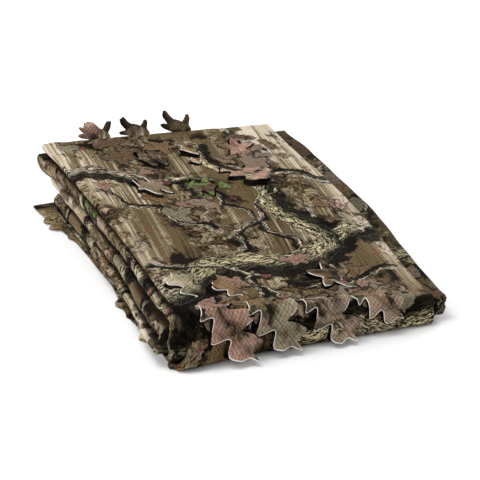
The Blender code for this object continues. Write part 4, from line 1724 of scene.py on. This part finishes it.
@dataclass(frozen=True)
class Bough:
    """A printed bough or twig: a swaying band that tapers from start to end.

    Places are (right, front) on the top ply in metres. root and tip are half its width, sway and
    wave the size and length of its bends, and knots how many knots it has to a metre.
    """

    start: Pair
    end: Pair
    root: float
    tip: float
    sway: float
    wave: float
    tint: Colour
    fade: float = 0.004
    knots: float = 22.0

    def own_places(self, spot: Spot) -> tuple[Signal, Signal, Signal, Signal]:
        """Work out a place's distance along the bough and off its swaying middle line.

        Args:
            spot: the place on the print.

        Returns:
            The distance along, the distance off the middle line, that distance as a share of half
            the width, and how surely the place lies between the bough's two ends.
        """
        bench = spot.bench
        run = (self.end[0] - self.start[0], self.end[1] - self.start[1])
        length = math.hypot(*run)
        cosine, sine = run[0] / length, run[1] / length
        right, front = spot.x - self.start[0], spot.y - self.start[1]
        along = right * cosine + front * sine
        swing = bench.math("SINE", along * (FULL_TURN / self.wave)) * self.sway
        off = front * cosine - right * sine - swing
        own_seed = 30.0 + 9.0 * self.wave + self.root * 100.0
        width = bench.noise(along * self.knots, 0.0, own_seed) * 1.5 + 0.25
        share = off / ((along * ((self.tip - self.root) / length) + self.root) * width)
        between = bench.rise(along, 0.0, self.fade) * bench.rise(along, length, length - self.fade)
        return along, off, share, between


@dataclass(frozen=True)
class Grove:
    """A round patch of the print where leaves lie close, which fades out about its radius."""

    place: Pair
    radius: float

    def depth(self, spot: Spot) -> Signal:
        """How deep a place lies in the patch, 0 outside to 1."""
        away = spot.bench.length(spot.x - self.place[0], spot.y - self.place[1])
        return spot.bench.rise(away, self.radius * 1.15, self.radius * 0.75)


@dataclass(frozen=True)
class LeafLayer:
    """One printed layer of leaves, each in a seat of its own, about a pitch apart."""

    pitch: float
    seed: float
    points: float


@dataclass(frozen=True)
class WoodlandPrint:
    """A generic woodland print: slats, litter, boughs, twigs, leaves and berries.

    It reads the cloth's flat places and repeats over a tile. Its places are (right, front) on the
    top ply, where right is 0 in the middle and front is 0 at the back edge.
    """

    name: str = "printed_cloth"
    middle: float = 0.130
    tile: Pair = (0.30, 0.42)
    thread_pitch: float = 0.0038
    vein_pitch: float = 0.012
    weave_shade: float = 0.60
    speckle: float = 1.30
    contrast: float = 1.24
    # How much the highlight painted along the folds whitens and brightens the print.
    crest_glare: float = 1.30
    crest_light: float = 1.25
    weave_depth: float = 0.0003
    bump: float = 0.6
    roughness: float = 0.80
    gloss: float = 0.03
    hollow: Colour = seen(0.06, 0.05, 0.04)
    soil: Colour = seen(0.245, 0.208, 0.148)
    wood: Colour = seen(0.435, 0.378, 0.284)
    pale_wood: Colour = seen(0.67, 0.625, 0.54)
    # The palest wood of the print, which the painted highlight also whitens towards; then the cap of
    # that highlight.
    pale_wood_and_highlight: Colour = seen(0.80, 0.76, 0.70)
    palest: Colour = seen(0.74, 0.69, 0.62)
    olive_bark: Colour = seen(0.64, 0.605, 0.50)
    grey_bark: Colour = seen(0.62, 0.58, 0.51)
    crack: Colour = seen(0.07, 0.06, 0.05)
    vein: Colour = seen(0.20, 0.14, 0.11)
    green: Colour = seen(0.36, 0.42, 0.25)
    berry: Colour = seen(0.51, 0.32, 0.28)
    # Pale raw edge of the cuts, drawn only where they face the light: partly a painted highlight.
    raw_edge_and_highlight: Colour = seen(0.93, 0.91, 0.88)
    leaf_tones: tuple[Colour, ...] = (
        seen(0.59, 0.49, 0.44), seen(0.50, 0.42, 0.32), seen(0.52, 0.49, 0.42),
        seen(0.43, 0.36, 0.29), seen(0.55, 0.49, 0.43),
    )
    small_leaves: LeafLayer = LeafLayer(0.024, 5.1, 3.0)
    large_leaves: LeafLayer = LeafLayer(0.036, 2.6, 5.0)
    litter_lumps: Cloud = Cloud(330.0, 220.0, 4.0, 5.0, 0.7)
    litter_zone: Cloud = Cloud(15.0, 10.0, 23.0, 3.0)
    dark_zone: Cloud = Cloud(34.0, 24.0, 24.0, 4.0, 0.6)
    wood_patch: Cloud = Cloud(10.0, 5.0, 13.0)
    bark_tear: Cloud = Cloud(95.0, 95.0, 18.0, 4.0, 0.65)
    sprig_mottle: Cloud = Cloud(350.0, 350.0, 9.0, 3.0)
    berry_mottle: Cloud = Cloud(400.0, 400.0, 12.0, 3.0)
    tongue_mottle: Cloud = Cloud(380.0, 380.0, 31.0, 5.0, 0.65)
    tongue_blotch: Cloud = Cloud(60.0, 60.0, 32.0)
    specks: Cloud = Cloud(700.0, 280.0, 27.0, 3.0, 0.7)
    # Streaks of the highlight painted along the folds.
    highlight_streaks: Cloud = Cloud(160.0, 9.0, 26.0, 4.0, 0.6)
    fray: Cloud = Cloud(700.0, 700.0, 25.0)

    def boughs(self) -> tuple[Bough, ...]:
        """List the boughs and twigs.

        Returns:
            The lowest first.
        """
        olive, grey = self.olive_bark, self.grey_bark
        return (
            Bough((-0.15, 0.052), (0.01, 0.118), 0.013, 0.005, 0.008, 0.09, grey),
            Bough((0.15, 0.15), (0.03, 0.085), 0.008, 0.0034, 0.005, 0.06, grey),
            Bough((-0.07, 0.41), (-0.004, 0.255), 0.0046, 0.0024, 0.006, 0.066, grey),
            Bough((0.02, 0.2), (0.052, 0.33), 0.0042, 0.002, 0.006, 0.058, grey),
            Bough((-0.03, 0.215), (-0.1, 0.12), 0.0048, 0.0022, 0.005, 0.05, grey),
            Bough((-0.15, 0.322), (0.15, 0.222), 0.023, 0.013, 0.011, 0.15, olive),
            Bough((0.062, 0.262), (0.02, 0.03), 0.013, 0.005, 0.008, 0.11, olive),
            Bough((0.15, 0.384), (-0.02, 0.38), 0.021, 0.008, 0.004, 0.09, olive),
            Bough((-0.03, 0.255), (0.055, 0.135), 0.0038, 0.0016, 0.007, 0.062, grey),
            Bough((0.012, 0.196), (-0.014, 0.094), 0.003, 0.0012, 0.005, 0.048, grey),
            Bough((-0.11, 0.262), (-0.01, 0.3), 0.004, 0.0026, 0.004, 0.08, grey),
            Bough((0.11, 0.3), (0.01, 0.33), 0.0034, 0.002, 0.005, 0.07, grey),
            Bough((-0.06, 0.3), (0.06, 0.404), 0.004, 0.0018, 0.007, 0.052, grey),
        )

    def groves(self) -> tuple[Grove, ...]:
        """List the patches of leaves.

        Returns:
            The brown ones, and a green one last.
        """
        return (
            Grove((-0.046, 0.034), 0.034), Grove((0.07, 0.055), 0.038),
            Grove((-0.06, 0.372), 0.046), Grove((0.062, 0.35), 0.034),
            Grove((0.103, 0.19), 0.03), Grove((-0.035, 0.165), 0.026),
            Grove((-0.118, 0.215), 0.026), Grove((-0.004, 0.122), 0.024),
        )

    def slats(self, spot: Spot) -> Signal:
        """Upright slats and dry stalks: noise drawn out along the cloth, with sharp sides.

        Broad streaks, stalks and fine grain add up to one tone, which goes from dark gaps through
        brown to pale wood. Pale wood comes in wide patches alone.

        Args:
            spot: the place on the print.

        Returns:
            The colour.
        """
        bench, x, y = spot.bench, spot.x, spot.y
        upright = Spot(bench, x + y * 0.10, y)
        panel = bench.rise(upright.noise(Cloud(42.0, 1.2, 17.0)), 0.44, 0.56)
        streak = bench.rise(upright.noise(Cloud(130.0, 2.2, 1.0)), 0.42, 0.58)
        stalk = bench.rise(upright.noise(Cloud(400.0, 7.0, 2.0, 4.0, 0.6)), 0.36, 0.64)
        grain = upright.noise(Cloud(1100.0, 150.0, 3.0, 4.0, 0.65))
        patch = spot.noise(self.wood_patch)
        stalky = bench.rise(patch, 0.46, 0.60)
        sunny = bench.rise(x, 0.020, 0.075) * bench.rise(y, 0.190, 0.020)
        sunny = sunny + bench.rise(x, -0.040, -0.085, 0.20) * bench.rise(y, 0.120, 0.030)
        tone = panel * 0.20 + streak * 0.16 + (stalk - 0.5) * (stalky * 0.36 + 0.12) + grain * 0.40
        tone = tone + (patch - 0.5) * 0.9 + sunny * 0.40 + 0.16
        woods = (self.hollow, self.soil, self.wood, self.wood, self.pale_wood, self.pale_wood_and_highlight)
        return bench.ramp(tone, woods, False)

    def litter(self, spot: Spot) -> Signal:
        """Brown litter: small scraps of leaf of chance tones with dark borders, over rough noise.

        Args:
            spot: the place on the print.

        Returns:
            The colour.
        """
        bench = spot.bench
        right, front, first, second = spot.scatter(0.0085, 3.3)
        lump = spot.noise(self.litter_lumps)
        tone = bench.rise(first * 0.25 + lump * 0.95, 0.32, 0.85)
        ground = bench.ramp(tone, (self.hollow, self.soil, self.wood, self.pale_wood), False)
        scrap = bench.rise(abs(front) * 2.4 + abs(right), 0.0050, 0.0042)
        scrap = scrap * bench.rise(second, 0.35, 0.45)
        tint = bench.ramp(first, self.leaf_tones, True)
        return bench.blend(scrap * 0.6, ground, bench.shade(tint, lump * 1.6 + 0.1))

    def bark(self, bench: Bench, place: Signal, tint: Signal) -> Signal:
        """Colour bark: grain and blotches, darker to the front, with plates, fissures and holes.

        Args:
            bench: where the nodes go.
            place: distance along the bough, off its middle, and that as a share of half its width.
            tint: the bark's own colour.

        Returns:
            The colour.
        """
        along, off, share = bench.parts(place)
        fissure = abs(bench.noise(along * 45.0, off * 380.0, 5.0, 3.0, 0.6) - 0.5)
        plate = bench.cracks(along * 75.0 + off * 60.0, off * 330.0)
        grain = bench.noise(along * 260.0, off * 1300.0, 6.0, 4.0, 0.65)
        blotch = bench.noise(along * 55.0, off * 120.0, 7.0, 3.0)
        bright = 1.50 - bench.rise(share, -0.10, 0.75, 1.35) - bench.rise(share, -0.60, -1.0, 0.7)
        bright = bright * (grain * 1.9 + 0.10) * (blotch * 1.3 + 0.35)
        hole = bench.noise(along * 42.0, off * 60.0, 16.0) + bench.rise(share, 0.1, 0.9, 0.16)
        bark = bench.shade(tint, bright)
        for dark in (bench.rise(plate, 0.15, 0.05) * 0.85, bench.rise(fissure, 0.055, 0.020) * 0.95,
                     bench.rise(hole, 0.66, 0.70) * 0.9):
            bark = bench.blend(dark, bark, self.crack)
        return bark

    def draw_boughs(self, spot: Spot, ground: Signal) -> Signal:
        """Draw the boughs, each over the ones before it, with a torn shadow to its front.

        Args:
            spot: the place on the print.
            ground: colour under the boughs.

        Returns:
            The colour with the boughs drawn.
        """
        bench = spot.bench
        cover, shadow = 0.0 * spot.x, 0.0 * spot.x
        own_place = bench.place(spot.x, spot.y)
        tear = (spot.noise(self.bark_tear) - 0.5) * 3.0
        tint = bench.blend(0.0, self.grey_bark, self.grey_bark)
        for bough in self.boughs():
            along, off, share, between = bough.own_places(spot)
            over = bench.rise(abs(share), 1.0, 0.94) * between
            cast = bench.rise(abs(share - 0.8) + tear, 1.20, 0.85) * between
            shadow = bench.larger(shadow, cast) * (1.0 - over)
            cover = bench.larger(cover, over)
            own_place = bench.choose(over, own_place, bench.place(along, off, share))
            tint = bench.blend(over, tint, bough.tint)
        shaded = bench.blend(shadow * 0.92, ground, self.hollow)
        return bench.blend(cover, shaded, self.bark(bench, own_place, tint))

    def near_groves(self, spot: Spot, groves: tuple[Grove, ...]) -> Signal:
        """How deep a place lies in the nearest of some patches of leaves, 0 outside to 1."""
        return reduce(spot.bench.larger, (grove.depth(spot) for grove in groves), 0.0 * spot.x)

    def draw_leaves(self, spot: Spot, ground: Signal, layer: LeafLayer, often: Signal) -> Signal:
        """Draw one layer of leaves.

        The outline is a radius that rises and falls once for each point as the angle goes round,
        longer towards the stalk's far end and finely toothed. Veins run out to the points.

        Args:
            spot: the place on the print.
            ground: colour under the leaves.
            layer: the leaves' seats and points.
            often: share of the seats that hold a leaf.

        Returns:
            The colour with the leaves drawn.
        """
        bench, points = spot.bench, layer.points
        right, front, first, second = spot.scatter(layer.pitch, layer.seed)
        angle = bench.math("ARCTAN2", front, right)
        away = bench.length(right, front)
        lobe = bench.math("COSINE", angle * points)
        tooth = bench.math("COSINE", angle * (points * 4.0 + 1.0))
        reach = lobe * 0.24 + 0.68 + tooth * 0.045
        reach = reach * (bench.math("COSINE", angle) * 0.22 + 0.92)
        share = away / (reach * ((first * 0.25 + 0.48) * layer.pitch))
        held = bench.rise(often - second, 0.0, 0.02)
        leaf = bench.rise(share, 1.0, 0.93) * held
        cast = bench.rise(share, 1.55, 0.95) * held
        vein_off = abs(bench.math("SINE", angle * (points / 2.0))) * away
        vein = bench.rise(vein_off, 0.0011, 0.0003) * bench.rise(share, 0.98, 0.7)
        mottle = spot.noise(Cloud(420.0, 420.0, layer.seed, 5.0, 0.65))
        tint = bench.ramp(first, self.leaf_tones, True)
        tint = bench.shade(tint, mottle * 1.5 + 0.30 - share * 0.15)
        tint = bench.blend(bench.rise(share, 0.84, 0.97) * 0.30, tint, self.pale_wood)
        tint = bench.blend(vein * 0.7, tint, self.vein)
        return bench.blend(leaf, bench.blend(cast * 0.75, ground, self.hollow), tint)

    def draw_green(self, spot: Spot, ground: Signal) -> Signal:
        """Draw one sprig of narrow green leaves in the last patch, each a parabola on both sides.

        Args:
            spot: the place on the print.
            ground: colour under the sprig.

        Returns:
            The colour with the sprig drawn.
        """
        bench = spot.bench
        right, front, first, _ = spot.scatter(0.017, 8.4)
        zone = self.near_groves(spot, self.groves()[-1:])
        share = abs(front) / bench.larger(0.0042 - right * right * 62.0, 0.00005)
        leaf = bench.rise(share, 1.0, 0.85) * bench.rise(zone, 0.3, 0.5)
        vein = bench.rise(abs(front), 0.0007, 0.0002)
        tint = bench.shade(self.green, spot.noise(self.sprig_mottle) * 1.3 + 0.35 + first * 0.3)
        tint = bench.blend(vein * 0.5, tint, self.pale_wood)
        return bench.blend(leaf, bench.blend(zone * 0.45, ground, self.hollow), tint)

    def draw_berries(self, spot: Spot, ground: Signal) -> Signal:
        """Draw small red leaves and berries in a few places, each a flattened round.

        Args:
            spot: the place on the print.
            ground: colour under them.

        Returns:
            The colour with them drawn.
        """
        bench = spot.bench
        right, front, _, second = spot.scatter(0.026, 11.7)
        berry = bench.rise(bench.length(right, front, 1.8), 0.0040, 0.0028)
        berry = berry * bench.rise(second, 0.90, 0.92)
        tint = bench.shade(self.berry, spot.noise(self.berry_mottle) * 1.5 + 0.25)
        return bench.blend(berry * 0.85, ground, tint)

    def draw_tongues(self, spot: Spot, ground: Signal) -> Signal:
        """Print each cut tongue as a leaf: its own tone, a midrib and slanting side veins.

        Args:
            spot: the place on the print.
            ground: colour under the leaves.

        Returns:
            The colour with the tongues printed.
        """
        bench = spot.bench
        along, off, clear = bench.parts(bench.mark(Mark.LEAF_PLACE, "Vector"))
        mottle = spot.noise(self.tongue_mottle)
        blotch = spot.noise(self.tongue_blotch)
        tint = bench.ramp(bench.mark(Mark.LEAF_TONE), self.leaf_tones, True)
        tint = bench.shade(tint, mottle * 1.7 + blotch * 3.0 - 1.00)
        spacing = bench.math("PINGPONG", along - abs(off) * 1.1, self.vein_pitch / 2)
        side_veins = bench.rise(spacing, 0.0007, 0.0002, 0.6)
        vein = bench.larger(side_veins, bench.rise(abs(off), 0.0010, 0.0004))
        tint = bench.blend(vein * 0.40, tint, self.vein)
        return bench.blend(clear * bench.rise(blotch, 0.30, 0.52, 0.78), ground, tint)

    def draw_print(self, plain: Spot) -> Signal:
        """Draw the whole print, from the slats and litter up to the cut tongues' own leaves.

        Args:
            plain: the place on the print.

        Returns:
            The print's colour.
        """
        bench = plain.bench
        near = plain.jitter(90.0, 0.011, 21.0)
        rough = near.jitter(380.0, 0.0028, 22.0)
        littered = bench.rise(plain.noise(self.litter_zone), 0.50, 0.56)
        ground = bench.blend(littered, self.slats(plain), self.litter(near))
        # More dark patches towards the front face, most at its left.
        front_left = bench.rise(plain.x, -0.060, -0.095, 0.5) + 1.0
        dark = plain.noise(self.dark_zone) - bench.rise(plain.y, 0.345, 0.380, 0.08) * front_left
        ground = bench.blend(bench.rise(dark, 0.45, 0.36) * 0.9, ground, self.hollow)
        depth = self.near_groves(near, self.groves()[:-1])
        ground = self.draw_leaves(rough, ground, self.small_leaves, depth * 0.8 + 0.12)
        ground = self.draw_boughs(rough, ground)
        ground = self.draw_leaves(rough, ground, self.large_leaves, depth * 0.75 + 0.04)
        for draw in (self.draw_green, self.draw_berries, self.draw_tongues):
            ground = draw(rough, ground)
        return ground

    def painted_light(self, plain: Spot, ground: Signal) -> Signal:
        """Paint shade into the gaps and highlights in streaks along the folds, up to the palest colour.

        Args:
            plain: the place on the print.
            ground: the print's colour.

        Returns:
            The colour with its painted shade and highlights.
        """
        bench = plain.bench
        # Painted shade between the rolls and under the top ply, and the stubs' darker tone, read from
        # the mesh.
        ground = bench.blend(bench.mark(Mark.SHADE), ground, self.hollow)
        # Painted highlight along the folds: brighter and whiter in streaks, and no paler than the palest
        # colour.
        crest = bench.mark(Mark.CREST)
        highlit = crest * bench.rise(plain.noise(self.highlight_streaks), 0.25, 0.70)
        ground = bench.shade(ground, highlit * self.crest_light + 1.0)
        red, _, _ = bench.parts(ground)
        ground = bench.blend(highlit * red * self.crest_glare, ground, self.pale_wood_and_highlight)
        return bench.blend(bench.rise(crest, 0.0, 0.3), ground, self.palest, "DARKEN")

    def build(self) -> bpy.types.Material:
        """Lay out the print, its weave, its painted shade and highlights, and its raw edges.

        Returns:
            The material.
        """
        bench = Bench(self.name)
        across, along, _ = bench.parts(bench.give("ShaderNodeUVMap", {}, uv_map=UV_MAP))
        half_tile = self.tile[0] / 2
        tile_x = bench.math("FLOORED_MODULO", self.middle - across + half_tile, self.tile[0])
        tile_y = bench.math("FLOORED_MODULO", along, self.tile[1])
        plain = Spot(bench, tile_x - half_tile, tile_y)
        thread = FULL_TURN / self.thread_pitch
        crossed = bench.math("SINE", along * thread) * bench.math("SINE", across * thread)
        weave = crossed * 0.5 + 0.5
        ground = self.draw_print(plain)
        specks = plain.noise(self.specks)
        for detail, strength in ((weave, self.weave_shade), (specks, self.speckle)):
            ground = bench.shade(ground, detail * strength + (1.0 - strength / 2))
        ground = self.painted_light(plain, bench.give("ShaderNodeGamma", {0: ground, 1: self.contrast}))
        # Pale raw edges where the cuts face the light: partly a painted highlight.
        frayed = (Spot(bench, across, along).noise(self.fray) - 0.5) * 0.0006
        edge = bench.rise(bench.mark(Mark.CUT_EDGE) + frayed, 0.0008, 0.0003)
        raised = {"Strength": self.bump, "Distance": self.weave_depth, "Height": weave}
        looks = {
            "Base Color": bench.blend(edge * 0.85, ground, self.raw_edge_and_highlight),
            "Roughness": self.roughness,
            "Specular IOR Level": self.gloss,
            "Normal": bench.give("ShaderNodeBump", raised, "Normal"),
        }
        for name, value in looks.items():
            bench.feed(bench.shader.inputs[name], value)
        return bench.material


def main() -> None:
    """Build the cloth and the studio and report each piece."""
    logging.basicConfig(level=logging.INFO)
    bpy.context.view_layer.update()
    maker = CamoCloth()
    cloth = maker.build()
    cloth.data.materials.append(WoodlandPrint().build())
    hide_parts("camo_cloth")
    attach(cloth, "root")
    LOG.info("%s: %d triangles before thickness", cloth.name, len(cloth.data.polygons))
    LOG.info("cut leaves: %s", ", ".join(cut.name for cut in (*maker.leaves, *maker.stubs)))
    Studio().build()


if __name__ == "__main__":
    main()
